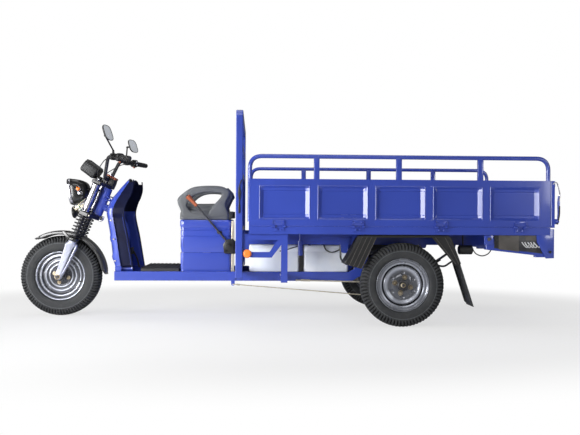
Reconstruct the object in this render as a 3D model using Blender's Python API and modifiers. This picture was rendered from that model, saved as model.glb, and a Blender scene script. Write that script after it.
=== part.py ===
"""Electric cargo tricycle. Metres, +Z up, front towards -X, its left side towards -Y."""

import math

import bmesh
import bpy
from mathutils import Matrix, Vector

# Seats and running gaps
SEAT_GAP = 0.0003
PIN_GAP = 0.0004

# Wheels
FRONT_X = -1.442
FRONT_TYRE_R = 0.267
FRONT_TYRE_W = 0.110
REAR_X = 0.756
REAR_TYRE_R = 0.2575
REAR_TYRE_W = 0.105
REAR_WHEEL_Y = 0.550
RIM_R = 0.161
SPINDLE_R = 0.0100

# Fork: lengths run up the leg from the front axle
RAKE = math.radians(22)
LEG_Y = 0.103
LEG_R = 0.026
LEG_TOP = 0.270
TUBE_R = 0.017
TUBE_LOW = 0.100
TUBE_TOP = 0.690
STEER_OFFSET = 0.066
STEM_R = 0.019
HEAD_R = 0.0285
HEAD_LOW = 0.466
HEAD_TOP = 0.659
LOWER_YOKE = (0.435, 0.463)
UPPER_YOKE = (0.662, 0.684)
SPRING_R = 0.0285
SPRING_WIRE_R = 0.0045
SPRING_TURNS = 7.5
FLAT_TURNS = 0.5
POINTS_A_TURN = 8
FRONT_AXLE_R = 0.0075
MUDGUARD_R = 0.303
MUDGUARD_W = 0.120
BAR_R = 0.0115
MIRROR_DEPTH = 0.017
MIRROR_GLASS = 0.004
MIRROR_TURN = math.radians(-26)
MIRROR_UP = math.radians(14)

# Frame
RAIL_Z = (0.257, 0.316)
RAIL_Y = (0.260, 0.300)
RAIL_FRONT = -1.040
RAIL_KICK = 0.470
BED_RAIL_Y = (0.380, 0.420)
BED_RAIL_Z = (0.497, 0.5657)
STRUT_Y = (0.585, 0.615)

# Cargo bed
BED_X = (-0.183, 1.651)
BED_Z = 0.612
CHANNEL_Z = 0.566
BOARD_TOP = 0.898
BOARD_Y = 0.635
BOARD_FOLD = 0.025
SHEET = 0.003
RAIL_TOP = 1.034
RAIL_R = 0.013
POSTS_X = (0.223, 1.221)
POST_W = 0.034
PANEL_FIRST = -0.117
PANEL_PITCH = 0.350
PANEL_LENGTH = 0.295
PANEL_Z = (0.657, 0.855)
PANEL_DEPTH = 0.016
PANEL_SLOPE = 0.014
HINGE_Y = 0.645
HINGES_X = (-0.005, 0.472, 0.979, 1.463)
HINGE_R = 0.008
GUARD_X = (-0.262, -0.220)
GUARD_Y = 0.636
GUARD_TUBE = 0.042
GUARD_TOP = 1.312
GUARD_LOW = 0.300
TAIL_X = 1.6535

# Rider's place
SEAT_BOX_X = (-0.627, -0.300)
SEAT_BOX_Y = 0.250
SEAT_BOX_Z = (0.2853, 0.648)

for old in list(bpy.data.objects):
    bpy.data.objects.remove(old)

parts = bpy.data.collections.new("Electric tricycle")
helpers = bpy.data.collections.new("Cutters and joined shapes")
helpers.hide_render = True
bpy.context.scene.collection.children.link(parts)
bpy.context.scene.collection.children.link(helpers)


def material(name, colour, roughness, metallic=0.0):
    made = bpy.data.materials.new(name)
    made.use_nodes = True
    shader = made.node_tree.nodes["Principled BSDF"]
    shader.inputs["Base Color"].default_value = (*colour, 1)
    shader.inputs["Roughness"].default_value = roughness
    shader.inputs["Metallic"].default_value = metallic
    return made


BLUE = material("blue_paint", (0.045, 0.085, 0.62), 0.30)
BLACK = material("black_paint", (0.012, 0.012, 0.013), 0.35)
PLASTIC = material("black_plastic", (0.015, 0.015, 0.017), 0.50)
TYRE = material("tyre_rubber", (0.022, 0.022, 0.023), 0.85)
RIM = material("rim_silver", (0.27, 0.31, 0.40), 0.40, 0.6)
CHROME = material("chrome", (0.75, 0.76, 0.78), 0.12, 1.0)
ALLOY = material("cast_alloy", (0.55, 0.56, 0.62), 0.38, 0.8)
STEEL = material("dark_steel", (0.09, 0.09, 0.10), 0.50, 0.7)
SPRING_STEEL = material("spring_black", (0.02, 0.02, 0.02), 0.40, 0.3)
GREY = material("seat_grey", (0.17, 0.18, 0.20), 0.55)
BATTERY = material("battery_grey", (0.55, 0.64, 0.76), 0.45)
RUBBER = material("mat_rubber", (0.02, 0.02, 0.022), 0.80)
LINER = material("liner_dark", (0.012, 0.014, 0.045), 0.45)
WIRE = material("rod_zinc", (0.45, 0.40, 0.30), 0.40, 0.9)


def place(obj, look, home=parts):
    """Puts a new object in its collection with its material."""
    for owner in list(obj.users_collection):
        owner.objects.unlink(obj)
    home.objects.link(obj)
    if look is not None:
        obj.data.materials.clear()
        obj.data.materials.append(look)
    return obj


def from_bmesh(name, shape, look, turn_faces=True):
    if turn_faces:
        bmesh.ops.recalc_face_normals(shape, faces=shape.faces)
    mesh = bpy.data.meshes.new(name)
    shape.to_mesh(mesh)
    shape.free()
    return place(bpy.data.objects.new(name, mesh), look)


def smooth(obj, degrees=35):
    obj.data.shade_smooth()
    obj.data.set_sharp_from_angle(angle=math.radians(degrees))
    return obj


def bevel(obj, width, segments=2, degrees=35):
    edge = obj.modifiers.new("Bevel", "BEVEL")
    edge.width = width
    edge.segments = segments
    edge.limit_method = "ANGLE"
    edge.angle_limit = math.radians(degrees)
    return obj


def skin(obj, thick, offset):
    layer = obj.modifiers.new("Skin", "SOLIDIFY")
    layer.thickness = thick
    layer.offset = offset
    layer.use_even_offset = True
    return obj


def helper(obj):
    obj.hide_render = True
    obj.display_type = "WIRE"
    return place(obj, None, helpers)


def combine(obj, others, operation):
    for other in others:
        step = obj.modifiers.new(operation.title(), "BOOLEAN")
        step.operation = operation
        step.solver = "EXACT"
        step.object = helper(other)
    return obj


def join(obj, *others):
    return combine(obj, others, "UNION")


def cut(obj, *others):
    return combine(obj, others, "DIFFERENCE")


def box(name, low, high, look=None, edge=0.0, segments=1):
    """A box between two corners, its origin at its centre."""
    shape = bmesh.new()
    bmesh.ops.create_cube(shape, size=1)
    size = [b - a for a, b in zip(low, high)]
    bmesh.ops.scale(shape, vec=size, verts=shape.verts)
    made = from_bmesh(name, shape, look)
    made.location = [(a + b) / 2 for a, b in zip(low, high)]
    return bevel(made, edge, segments) if edge else made


def rod(name, start, end, radius, look=None, sides=16, end_radius=None):
    """A round bar or cone from one point to another."""
    start, end = Vector(start), Vector(end)
    shape = bmesh.new()
    bmesh.ops.create_cone(
        shape, cap_ends=True, segments=sides, radius1=radius,
        radius2=radius if end_radius is None else end_radius, depth=(end - start).length,
    )
    made = from_bmesh(name, shape, look)
    made.location = (start + end) / 2
    made.rotation_mode = "QUATERNION"
    made.rotation_quaternion = (end - start).to_track_quat("Z", "Y")
    return smooth(made)


def turned(name, profile, look=None, steps=24, axis="Y"):
    """A closed profile of (radius, height) points turned about the Z axis, then laid on the wanted axis."""
    area = sum(r0 * h1 - r1 * h0 for (r0, h0), (r1, h1) in zip(profile, profile[1:] + profile[:1]))
    if area > 0:
        profile = list(reversed(profile))
    shape = bmesh.new()
    corners = [shape.verts.new((radius, 0, height)) for radius, height in profile]
    for first, second in zip(corners, corners[1:] + corners[:1]):
        shape.edges.new((first, second))
    mesh = bpy.data.meshes.new(name)
    shape.to_mesh(mesh)
    shape.free()
    made = place(bpy.data.objects.new(name, mesh), look)
    turn = made.modifiers.new("Turn", "SCREW")
    turn.steps = turn.render_steps = steps
    turn.use_merge_vertices = True
    turn.merge_threshold = 0.0001
    turn.use_smooth_shade = True
    if axis == "Y":
        made.rotation_euler = (math.radians(-90), 0, 0)
    return made


def curve_object(name, points, cyclic, flat):
    data = bpy.data.curves.new(name, "CURVE")
    data.dimensions = "2D" if flat else "3D"
    line = data.splines.new("POLY")
    line.points.add(len(points) - 1)
    for point, place_at in zip(line.points, points):
        point.co = (*place_at, 0, 1) if len(place_at) == 2 else (*place_at, 1)
    line.use_cyclic_u = cyclic
    return data


def to_mesh(name, data, look):
    """The curve's solid as a mesh, its caps joined to its sides."""
    source = bpy.data.objects.new(name + "_line", data)
    parts.objects.link(source)
    bpy.context.view_layer.update()
    graph = bpy.context.evaluated_depsgraph_get()
    mesh = bpy.data.meshes.new_from_object(source.evaluated_get(graph))
    shape = bmesh.new()
    shape.from_mesh(mesh)
    bmesh.ops.remove_doubles(shape, verts=shape.verts, dist=0.00001)
    bpy.data.objects.remove(source)
    bpy.data.meshes.remove(mesh)
    return from_bmesh(name, shape, look)


def pipe(name, points, radius, look=None, sides=2, cyclic=False):
    """A round tube of one radius along points."""
    data = curve_object(name, points, cyclic, False)
    data.bevel_depth = radius
    data.bevel_resolution = sides
    data.use_fill_caps = not cyclic
    return smooth(to_mesh(name, data, look), 50)


def plate(name, outline, low, high, look=None, holes=(), stand=True):
    """A flat plate: an outline of (x, z) points, with holes, standing between two y values, or lying between two heights."""
    data = curve_object(name, outline, True, True)
    for hole in holes:
        line = data.splines.new("POLY")
        line.points.add(len(hole) - 1)
        for point, (x, z) in zip(line.points, hole):
            point.co = (x, z, 0, 1)
        line.use_cyclic_u = True
    data.fill_mode = "BOTH"
    data.extrude = (high - low) / 2
    made = to_mesh(name, data, look)
    if stand:
        made.data.transform(Matrix.Rotation(math.radians(90), 4, "X"))
    made.location = (0, (low + high) / 2, 0) if stand else (0, 0, (low + high) / 2)
    return made


def rounded(points, radius, steps=5, cyclic=False):
    """The same line with each inner corner turned into an arc."""
    points = [Vector(point) for point in points]
    count = len(points)
    found = []
    for index, corner in enumerate(points):
        if not cyclic and index in (0, count - 1):
            found.append(corner)
            continue
        before = points[index - 1] - corner
        after = points[(index + 1) % count] - corner
        reach = min(radius, before.length * 0.45, after.length * 0.45)
        start = corner + before.normalized() * reach
        end = corner + after.normalized() * reach
        for step in range(steps + 1):
            t = step / steps
            found.append(start * (1 - t) ** 2 + corner * 2 * t * (1 - t) + end * t * t)
    return [tuple(point) for point in found]


def circle(x, z, radius, steps=20):
    return [
        (x + radius * math.cos(a), z + radius * math.sin(a))
        for a in (2 * math.pi * step / steps for step in range(steps))
    ]


def span(side, low, high):
    """The two y values of a piece on one side, lowest first."""
    return (low, high) if side > 0 else (-high, -low)


def axis_empty(name, location, parent=None):
    empty = bpy.data.objects.new(name, None)
    empty.location = location
    parts.objects.link(empty)
    if parent is not None:
        ride(parent, empty)
    return empty


def ride(empty, *objects):
    """Parents pieces to the empty on their joint's axis and leaves them where they stand."""
    bpy.context.view_layer.update()
    for obj in objects:
        obj.parent = empty
        obj.matrix_parent_inverse = empty.matrix_world.inverted()


def fork_point(x, y, along):
    """A point given across and along the fork, in the object's own frame."""
    return Vector((
        FRONT_X + x * math.cos(RAKE) + along * math.sin(RAKE),
        y,
        FRONT_TYRE_R - x * math.sin(RAKE) + along * math.cos(RAKE),
    ))


def tilt(obj):
    """Turns and moves a piece drawn upright about the origin into the fork's line."""
    obj.matrix_world = (
        Matrix.Translation((FRONT_X, 0, FRONT_TYRE_R)) @ Matrix.Rotation(RAKE, 4, "Y") @ obj.matrix_basis
    )
    return obj


# Wheels
RIM_SHARE = 0.70


def tyre_profile(radius, width):
    """A closed round-shouldered section whose bead stands between the rim's flanges, as (radius, height)."""
    half = width / 2
    bead = half * RIM_SHARE - 0.0024
    seat = RIM_R - 0.008
    wall = RIM_R + 0.0015
    upper = [
        (seat, bead), (wall, bead), (wall + 0.012, half * 0.92), ((wall + radius) / 2, half),
        (radius - 0.016, half * 0.84),
    ]
    return upper + [(radius, 0)] + [(r, -h) for r, h in reversed(upper)]


def rim_profile(width, disc, hub_r, hub, bore):
    """A well rim with its disc at one height and a hub between two heights."""
    half = width / 2 * RIM_SHARE
    seat = RIM_R - 0.0083
    inner = seat - 0.006
    low, high = disc
    return [
        (bore, hub[0]), (hub_r, hub[0]), (hub_r, low), (inner - 0.010, low),
        (inner, -half), (RIM_R, -half - 0.008), (RIM_R, -half - 0.004), (seat, -half + 0.002),
        (seat, half - 0.002), (RIM_R, half + 0.004), (RIM_R, half + 0.008), (inner, half),
        (inner - 0.010, high), (hub_r, high), (hub_r, hub[1]), (bore, hub[1]),
    ]


front_axis = axis_empty("front_wheel_axis", (FRONT_X, 0, FRONT_TYRE_R))
front_tyre = turned("front_tyre", tyre_profile(FRONT_TYRE_R, FRONT_TYRE_W), TYRE)
front_rim = turned(
    "front_rim",
    rim_profile(FRONT_TYRE_W, (-0.008, 0.008), 0.036, (-0.066, 0.066), FRONT_AXLE_R + PIN_GAP),
    RIM,
)
for piece in (front_tyre, front_rim):
    piece.location = (FRONT_X, 0, FRONT_TYRE_R)
ride(front_axis, front_tyre, front_rim)

WINDOWS = 6
WINDOW_TURN = 0.27
WINDOW_R = 0.074
for side, name in ((-1, "left"), (1, "right")):
    centre = (REAR_X, side * REAR_WHEEL_Y, REAR_TYRE_R)
    axis = axis_empty(f"rear_wheel_axis_{name}", centre)
    tyre = turned(f"rear_tyre_{name}", tyre_profile(REAR_TYRE_R, REAR_TYRE_W), TYRE)
    rim = turned(
        f"rear_rim_{name}",
        rim_profile(REAR_TYRE_W, (0.022, 0.027), 0.032, (-0.045, 0.038), SPINDLE_R + PIN_GAP),
        RIM,
    )
    windows = [
        rod(
            f"window_{name}_{step}",
            (WINDOW_R * math.cos(angle), WINDOW_R * math.sin(angle), 0.010),
            (WINDOW_R * math.cos(angle), WINDOW_R * math.sin(angle), 0.05),
            0.014, sides=8,
        )
        for step, angle in enumerate(2 * math.pi * (k + WINDOW_TURN) / WINDOWS for k in range(WINDOWS))
    ]
    for window in windows:
        window.parent = rim
    cut(rim, *windows)
    for piece in (tyre, rim):
        piece.rotation_euler = (math.radians(-90 * side), 0, 0)
        piece.location = centre
    ride(axis, tyre, rim)


# Fork, drawn upright over the front axle and then leaned back by the rake
steer_axis = axis_empty("steering_axis", fork_point(STEER_OFFSET, 0, HEAD_LOW))
slide_axis = axis_empty("fork_slide", (FRONT_X, 0, FRONT_TYRE_R), steer_axis)


YOKE_LINE = [
    (-0.030, -0.135), (-0.030, 0.135), (0.030, 0.135), (0.092, 0.045), (0.092, -0.045), (0.030, -0.135),
]


def yoke(name, heights):
    made = plate(name, YOKE_LINE, *heights, ALLOY, stand=False)
    corners = [
        rod(f"{name}_hole_{side}", (0, side * LEG_Y, heights[0] - 0.01), (0, side * LEG_Y, heights[1] + 0.01),
            TUBE_R + SEAT_GAP, sides=16)
        for side in (-1, 1)
    ]
    return made, corners


fork_yokes, low_holes = yoke("fork_yokes", LOWER_YOKE)
bevel(fork_yokes, 0.004, 1)
fork_yokes.data.materials[0] = STEEL
upper, high_holes = yoke("upper_yoke", UPPER_YOKE)
bevel(upper, 0.004, 1)
stem = rod(
    "steering_stem", (STEER_OFFSET, 0, LOWER_YOKE[0] + 0.01), (
        STEER_OFFSET, 0, UPPER_YOKE[1] + 0.012,
    ), STEM_R,
)
BAR_CENTRE = (0.0355, 0.7132)
clamps = [
    box(f"bar_clamp_{side}", (BAR_CENTRE[0] - 0.017, side * 0.048 - 0.016, UPPER_YOKE[0] + 0.006),
        (BAR_CENTRE[0] + 0.017, side * 0.048 + 0.016, BAR_CENTRE[1] + 0.019), edge=0.004)
    for side in (-1, 1)
]
bar_hole = rod(
    "bar_hole", (
        BAR_CENTRE[0], -0.075, BAR_CENTRE[1],
    ), (BAR_CENTRE[0], 0.075, BAR_CENTRE[1]), BAR_R + SEAT_GAP,
)
for shape in [fork_yokes, upper, stem, bar_hole, *clamps, *low_holes, *high_holes]:
    tilt(shape)
join(fork_yokes, upper, stem, *clamps)
cut(fork_yokes, bar_hole, *low_holes, *high_holes)
ride(steer_axis, fork_yokes)


def coil_points(side):
    """A compression coil whose first and last half curls lie flat, in the fork's line."""
    low = LEG_TOP + 0.0058 + SPRING_WIRE_R
    high = LOWER_YOKE[0] + 0.0002 - SPRING_WIRE_R
    rise = (high - low) / (SPRING_TURNS - 2 * FLAT_TURNS)
    found = []
    for step in range(int(SPRING_TURNS * POINTS_A_TURN) + 1):
        turns = step / POINTS_A_TURN
        angle = 2 * math.pi * turns
        height = low + rise * min(max(turns - FLAT_TURNS, 0), SPRING_TURNS - 2 * FLAT_TURNS)
        found.append((SPRING_R * math.cos(angle), side * LEG_Y + SPRING_R * math.sin(angle), height))
    return found


def least_gap(points, clear_turns=0.5):
    """Least space between the wire and itself, measured on points that are at least half a turn apart."""
    apart = int(POINTS_A_TURN * clear_turns)
    found = min(
        (Vector(a) - Vector(b)).length
        for index, a in enumerate(points)
        for b in points[index + apart:]
    )
    return found - 2 * SPRING_WIRE_R


for side, name in ((-1, "left"), (1, "right")):
    leg = turned(
        f"fork_leg_{name}",
        [(0, -0.020), (0.020, -0.020), (LEG_R, -0.012), (LEG_R, LEG_TOP - 0.020), (LEG_R + 0.010, LEG_TOP - 0.016),
         (LEG_R + 0.010, LEG_TOP + 0.006), (TUBE_R + PIN_GAP, LEG_TOP + 0.006), (TUBE_R + PIN_GAP, 0.020), (0, 0.020)],
        ALLOY, 16, "Z",
    )
    leg.location = (0, side * LEG_Y, 0)
    axle_hole = rod(
        f"axle_hole_{name}", (0, side * LEG_Y - 0.05, 0), (0, side * LEG_Y + 0.05, 0),
        FRONT_AXLE_R + SEAT_GAP,
    )
    inner = rod(
        f"fork_tube_{name}", (0, side * LEG_Y, TUBE_LOW), (0, side * LEG_Y, TUBE_TOP), TUBE_R, CHROME, 16,
    )
    spring = pipe(f"fork_spring_{name}", coil_points(side), SPRING_WIRE_R, SPRING_STEEL, 1)
    for shape in (leg, axle_hole, inner, spring):
        tilt(shape)
    cut(leg, axle_hole)
    ride(slide_axis, leg)
    ride(steer_axis, inner, spring)
print("spring gap mm", round(1000 * least_gap(coil_points(1)), 2))

front_axle = rod(
    "front_axle", (
        FRONT_X, -LEG_Y - LEG_R - 0.012, FRONT_TYRE_R,
    ), (FRONT_X, LEG_Y + LEG_R + 0.012, FRONT_TYRE_R),
    FRONT_AXLE_R, STEEL,
)
nuts = [
    rod(f"axle_nut_{side}", (FRONT_X, side * (LEG_Y + LEG_R + SEAT_GAP), FRONT_TYRE_R),
        (FRONT_X, side * (LEG_Y + LEG_R + 0.009), FRONT_TYRE_R), 0.0135, sides=6)
    for side in (-1, 1)
]
join(front_axle, *nuts)


def arch(name, radius, first, last, half_width, thick, lip, centre, look, steps=12):
    """A mudguard skin: an arc swept over its width with both edges turned down, then thickened outwards."""
    rows = [(-half_width, -lip), (-half_width, 0), (0, 0.007), (half_width, 0), (half_width, -lip)]
    shape = bmesh.new()
    grid = []
    for step in range(steps + 1):
        angle = math.radians(first + (last - first) * step / steps)
        grid.append([
            shape.verts.new((
                centre[0] + (
                    radius + rise
                ) * math.cos(angle), across, centre[1] + (radius + rise) * math.sin(angle),
            ))
            for across, rise in rows
        ])
    for near, far in zip(grid, grid[1:]):
        for a, b, c, d in zip(near, near[1:], far[1:], far):
            shape.faces.new((a, b, c, d))
    made = from_bmesh(name, shape, look)
    return smooth(skin(made, thick, 0))


front_mudguard = arch(
    "front_mudguard", MUDGUARD_R, 125, 2, MUDGUARD_W / 2, 0.003, 0.012, (FRONT_X, FRONT_TYRE_R), BLACK,
)
stays = [
    rod(f"mudguard_stay_{side}", (FRONT_X + 0.020, side * 0.0640, FRONT_TYRE_R + 0.2966),
        (FRONT_X + 0.0890, side * 0.0640, FRONT_TYRE_R + 0.2200), 0.004, sides=8)
    for side in (-1, 1)
]
feet = [
    rod(f"mudguard_foot_{side}", (FRONT_X + 0.0890, side * 0.0600, FRONT_TYRE_R + 0.2200),
        (FRONT_X + 0.0890, side * (LEG_Y - LEG_R - 0.0003), FRONT_TYRE_R + 0.2200), 0.004, sides=8)
    for side in (-1, 1)
]
join(front_mudguard, *stays, *feet)
ride(slide_axis, front_axle, front_mudguard)


# Handlebar and controls
BAR_MID = tuple(fork_point(BAR_CENTRE[0], 0, BAR_CENTRE[1]))
GRIP_START = (-1.097, 0.217, 1.055)
GRIP_END = (-0.931, 0.370, 1.030)
GRIP_R = 0.0165
GRIP_LENGTH = 0.125


def on_side(point, side):
    return (point[0], side * point[1], point[2])


half_bar = [GRIP_END, GRIP_START, (BAR_MID[0], 0.105, BAR_MID[2])]
bar_line = [on_side(point, -1) for point in half_bar] + list(reversed(half_bar))
handlebar = pipe("handlebar", rounded(bar_line, 0.036, 3), BAR_R, CHROME, 2)
ride(steer_axis, handlebar)

along_grip = (Vector(GRIP_END) - Vector(GRIP_START)).normalized()
for side, name in ((-1, "left"), (1, "right")):
    way = Vector(on_side(along_grip, side))
    end = Vector(on_side(GRIP_END, side))
    grip = turned(
        f"grip_{name}",
        [(0, 0.004), (GRIP_R - 0.004, 0.004), (GRIP_R, 0), (GRIP_R, -GRIP_LENGTH + 0.010), (GRIP_R + 0.006, -GRIP_LENGTH + 0.006),
         (GRIP_R + 0.006, -GRIP_LENGTH), (BAR_R + SEAT_GAP, -GRIP_LENGTH), (BAR_R + SEAT_GAP, 0.0003), (0, 0.0003)],
        RUBBER, 16, "Z",
    )
    grip.rotation_mode = "QUATERNION"
    grip.rotation_quaternion = way.to_track_quat("Z", "Y")
    grip.location = end
    ride(steer_axis, grip)

    front = way.cross(Vector((0, 0, side))).normalized()
    if front.x > 0:
        front.negate()
    perch_at = Vector(on_side(GRIP_START, side)) + way * 0.085
    pivot = perch_at + front * 0.036
    lever = pipe(
        f"brake_lever_{name}",
        rounded([pivot, pivot + way * 0.040 + front * 0.020, pivot + way * 0.150 + front * 0.026], 0.03, 3),
        0.0048, PLASTIC, 1,
    )
    hub = rod(
        f"lever_hub_{name}", pivot - Vector((0, 0, 0.005)), pivot + Vector((0, 0, 0.005)), 0.009,
        sides=16,
    )
    eye = rod(
        f"lever_eye_{name}", pivot - Vector((0, 0, 0.02)), pivot + Vector((0, 0, 0.02)), 0.0034, sides=12,
    )
    cut(join(lever, hub), eye)
    perch = rod(f"switch_pod_{name}", perch_at - way * 0.020, perch_at + way * 0.016, 0.0175, PLASTIC, 14)
    fork_ears = [
        box(
            f"perch_ear_{name}_{level}", (-0.009, -0.0305, level * 0.0085 - 0.003),
            (0.009, 0.016, level * 0.0085 + 0.003),
        )
        for level in (-1, 1)
    ]
    for ear in fork_ears:
        facing = front.to_track_quat("Y", "Z")
        ear.rotation_mode = "QUATERNION"
        ear.rotation_quaternion = facing
        ear.location = perch_at + front * 0.0265 + Vector((0, 0, ear.location.z))
    pin = rod(
        f"perch_pin_{name}", pivot - Vector((0, 0, 0.0095)), pivot + Vector((0, 0, 0.0095)), 0.003,
        sides=12,
    )
    pod = rod(f"pod_shell_{name}", perch_at - way * 0.046, perch_at - way * 0.018, 0.021, sides=14)
    through = rod(f"perch_hole_{name}", perch_at - way * 0.075, perch_at + way * 0.035, BAR_R + SEAT_GAP)
    foot_at = perch_at - way * 0.032 + Vector((0, 0, 0.0195))
    joint = Vector((-1.080, side * 0.411, 1.168))
    stem_way = Vector((0, side * 0.93, 0.3676)).normalized()
    stem_line = rounded(
        [foot_at, foot_at + Vector((0, 0, 0.018)), joint - stem_way * 0.060, joint - stem_way * SEAT_GAP],
        0.02, 3,
    )
    stem_piece = pipe(f"mirror_stem_{name}", stem_line, 0.005, sides=1)
    join(perch, pod, *fork_ears, pin, stem_piece)
    cut(perch, through)
    lever_axis = axis_empty(f"brake_lever_axis_{name}", pivot, steer_axis)
    ride(lever_axis, lever)
    ride(steer_axis, perch)

    head_at = joint + Vector((0.029 + side * 0.006, side * 0.049, 0.013))
    shape = bmesh.new()
    bmesh.ops.create_uvsphere(shape, u_segments=12, v_segments=6, radius=1)
    for vertex in shape.verts:
        x, y, z = vertex.co
        vertex.co = (x * (MIRROR_DEPTH if x < 0 else MIRROR_GLASS), y * 0.065, z * 0.053)
    head = smooth(from_bmesh(f"mirror_{name}", shape, PLASTIC), 50)
    head.rotation_euler = (0, -MIRROR_UP, MIRROR_TURN)
    head.location = head_at
    socket = rod(
        f"mirror_socket_{name}", joint + stem_way * SEAT_GAP, joint + stem_way * 0.030, 0.0060, sides=12,
    )
    neck = rod(f"mirror_neck_{name}", joint + stem_way * 0.025, head_at, 0.0055, sides=12)
    join(head, socket, neck)
    mirror_axis = axis_empty(f"mirror_axis_{name}", joint, steer_axis)
    ride(mirror_axis, head)


# Headlight: square-shouldered rings from the lens back to the shell's end
def ring_loft(name, rings, look, sides=16, power=4.0):
    """Superellipse rings behind and above the front axle, each (x, z, half width, half height, lean)."""
    shape = bmesh.new()
    loops = []
    for ahead, above, half_y, half_z, lean in rings:
        x, z = FRONT_X + ahead, FRONT_TYRE_R + above
        loop = []
        for step in range(sides):
            angle = 2 * math.pi * (step + 0.5) / sides
            c, s = math.cos(angle), math.sin(angle)
            y = half_y * math.copysign(abs(c) ** (2 / power), c)
            up = half_z * math.copysign(abs(s) ** (2 / power), s)
            loop.append(shape.verts.new((x + up * lean, y, z + up)))
        loops.append(loop)
    for near, far in zip(loops, loops[1:]):
        for k in range(sides):
            shape.faces.new((near[k], near[(k + 1) % sides], far[(k + 1) % sides], far[k]))
    shape.faces.new(loops[0])
    shape.faces.new(loops[-1])
    return smooth(from_bmesh(name, shape, look), 40)


LENS_LEAN = -0.154
headlight = ring_loft("headlight", [
    (0.0620, 0.5605, 0.094, 0.0870, LENS_LEAN), (0.0820, 0.5615, 0.096, 0.0880, LENS_LEAN),
    (0.1220, 0.5660, 0.090, 0.0800, -0.10), (0.1620, 0.5710, 0.070, 0.0600, -0.05),
    (0.1800, 0.5730, 0.045, 0.0380, 0.0),
], PLASTIC)
lamp_arm = tilt(plate(
    "lamp_arm",
    [
        (-0.030 - SEAT_GAP, 0.676), (-0.030 - SEAT_GAP, 0.664), (-0.050, 0.660), (-0.058, 0.600),
        (-0.075, 0.600), (-0.068, 0.668),
    ],
    -0.020, 0.020,
))
headlight_lens = ring_loft("headlight_front", [
    (0.0495, 0.5605, 0.070, 0.0640, LENS_LEAN), (0.0530, 0.5605, 0.084, 0.0780, LENS_LEAN),
    (0.0640, 0.5605, 0.088, 0.0815, LENS_LEAN),
], None)
instrument_case = box("instrument_case", (-0.058, -0.080, -0.040), (0.058, 0.080, 0.040), PLASTIC, 0.014, 2)
instrument_case.rotation_euler = (0, math.radians(37), 0)
instrument_case.location = fork_point(-0.0855, 0, UPPER_YOKE[1] + 0.0483)
case_foot = box("case_foot", (-0.0275, -0.030, -0.0134), (0.0275, 0.030, 0.0134), edge=0.003)
case_foot.location = fork_point(-0.0289, 0, UPPER_YOKE[1] + 0.0136)
join(instrument_case, case_foot)
join(headlight, headlight_lens, lamp_arm)
ride(steer_axis, headlight, instrument_case)


# Frame: lower rails, floor, head frame
for side, name in ((-1, "left"), (1, "right")):
    low, high = RAIL_Z
    kick = CHANNEL_Z - SEAT_GAP
    rail = plate(
        f"frame_rail_{name}",
        [(RAIL_FRONT, low), (RAIL_KICK + 0.012, low), (RAIL_KICK + 0.085, low + 0.045), (RAIL_KICK + 0.150, kick - 0.03),
         (RAIL_KICK + 0.150, kick), (RAIL_KICK + 0.080, kick), (RAIL_KICK + 0.080, kick - 0.03),
         (RAIL_KICK + 0.025, high + 0.020), (RAIL_KICK - 0.010, high), (RAIL_FRONT, high)],
        *span(side, *RAIL_Y), BLUE,
    )
    bevel(rail, 0.003)

floor_pan = box(
    "floor_pan", (RAIL_FRONT + 0.002, -RAIL_Y[0] + SEAT_GAP, 0.2750),
    (0.020, RAIL_Y[0] - SEAT_GAP, 0.2850), BLUE,
)
lip = box(
    "floor_lip", (RAIL_FRONT + 0.002, -RAIL_Y[0] + SEAT_GAP, 0.2600),
    (RAIL_FRONT + 0.042, RAIL_Y[0] - SEAT_GAP, RAIL_Z[1] - 0.002),
)
beams = [
    box(f"floor_beam_{index}", (x, -RAIL_Y[0] + SEAT_GAP, 0.2600), (x + 0.030, RAIL_Y[0] - SEAT_GAP, 0.2760))
    for index, x in enumerate((-0.620, -0.320, -0.012))
]
join(floor_pan, lip, *beams)
floor_mat = box(
    "floor_mat", (-0.880, -RAIL_Y[0] + 0.006, 0.2853), (-0.632, RAIL_Y[0] - 0.006, 0.3500), RUBBER, 0.008,
    2,
)
ribs = [
    box(
        f"mat_groove_{index}", (-0.872 + 0.030 * index, -0.230, 0.3455),
        (-0.862 + 0.030 * index, 0.230, 0.3600),
    )
    for index in range(8)
]
cut(floor_mat, *ribs)

HEAD_AXIS_LOW = fork_point(STEER_OFFSET, 0, HEAD_LOW)
HEAD_AXIS_TOP = fork_point(STEER_OFFSET, 0, HEAD_TOP)
head_frame = rod("head_frame", HEAD_AXIS_LOW, HEAD_AXIS_TOP, HEAD_R, BLUE, 16)
along_head = (HEAD_AXIS_TOP - HEAD_AXIS_LOW).normalized()
head_bore = rod(
    "head_bore", HEAD_AXIS_LOW - along_head * 0.02, HEAD_AXIS_TOP + along_head * 0.02, STEM_R + PIN_GAP,
    sides=16,
)
DOWN_LINE = [(-1.178, 0, 0.735), (-1.080, 0, 0.690), (-1.016, 0, 0.590), (-1.016, 0, 0.3300)]
down_tube = pipe("down_tube", rounded(DOWN_LINE, 0.07, 4), 0.024, sides=2)
foot = box(
    "down_foot", (-1.036, -0.296, RAIL_Z[1] + SEAT_GAP), (-0.996, 0.296, RAIL_Z[1] + 0.034), edge=0.003,
)
join(head_frame, down_tube, foot)
cut(head_frame, head_bore)


# Leg shield: a tray whose front leans with the frame and whose wings turn back
SHIELD_ROWS = [
    (0.318, -1.052, -0.947), (0.390, -1.067, -0.960), (0.530, -1.084, -0.982), (0.680, -1.111, -1.004),
    (0.720, -1.110, -0.995), (0.760, -1.094, -0.984), (0.800, -1.068, -0.966), (0.850, -1.026, -0.957),
    (0.905, -0.978, -0.950),
]


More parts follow.
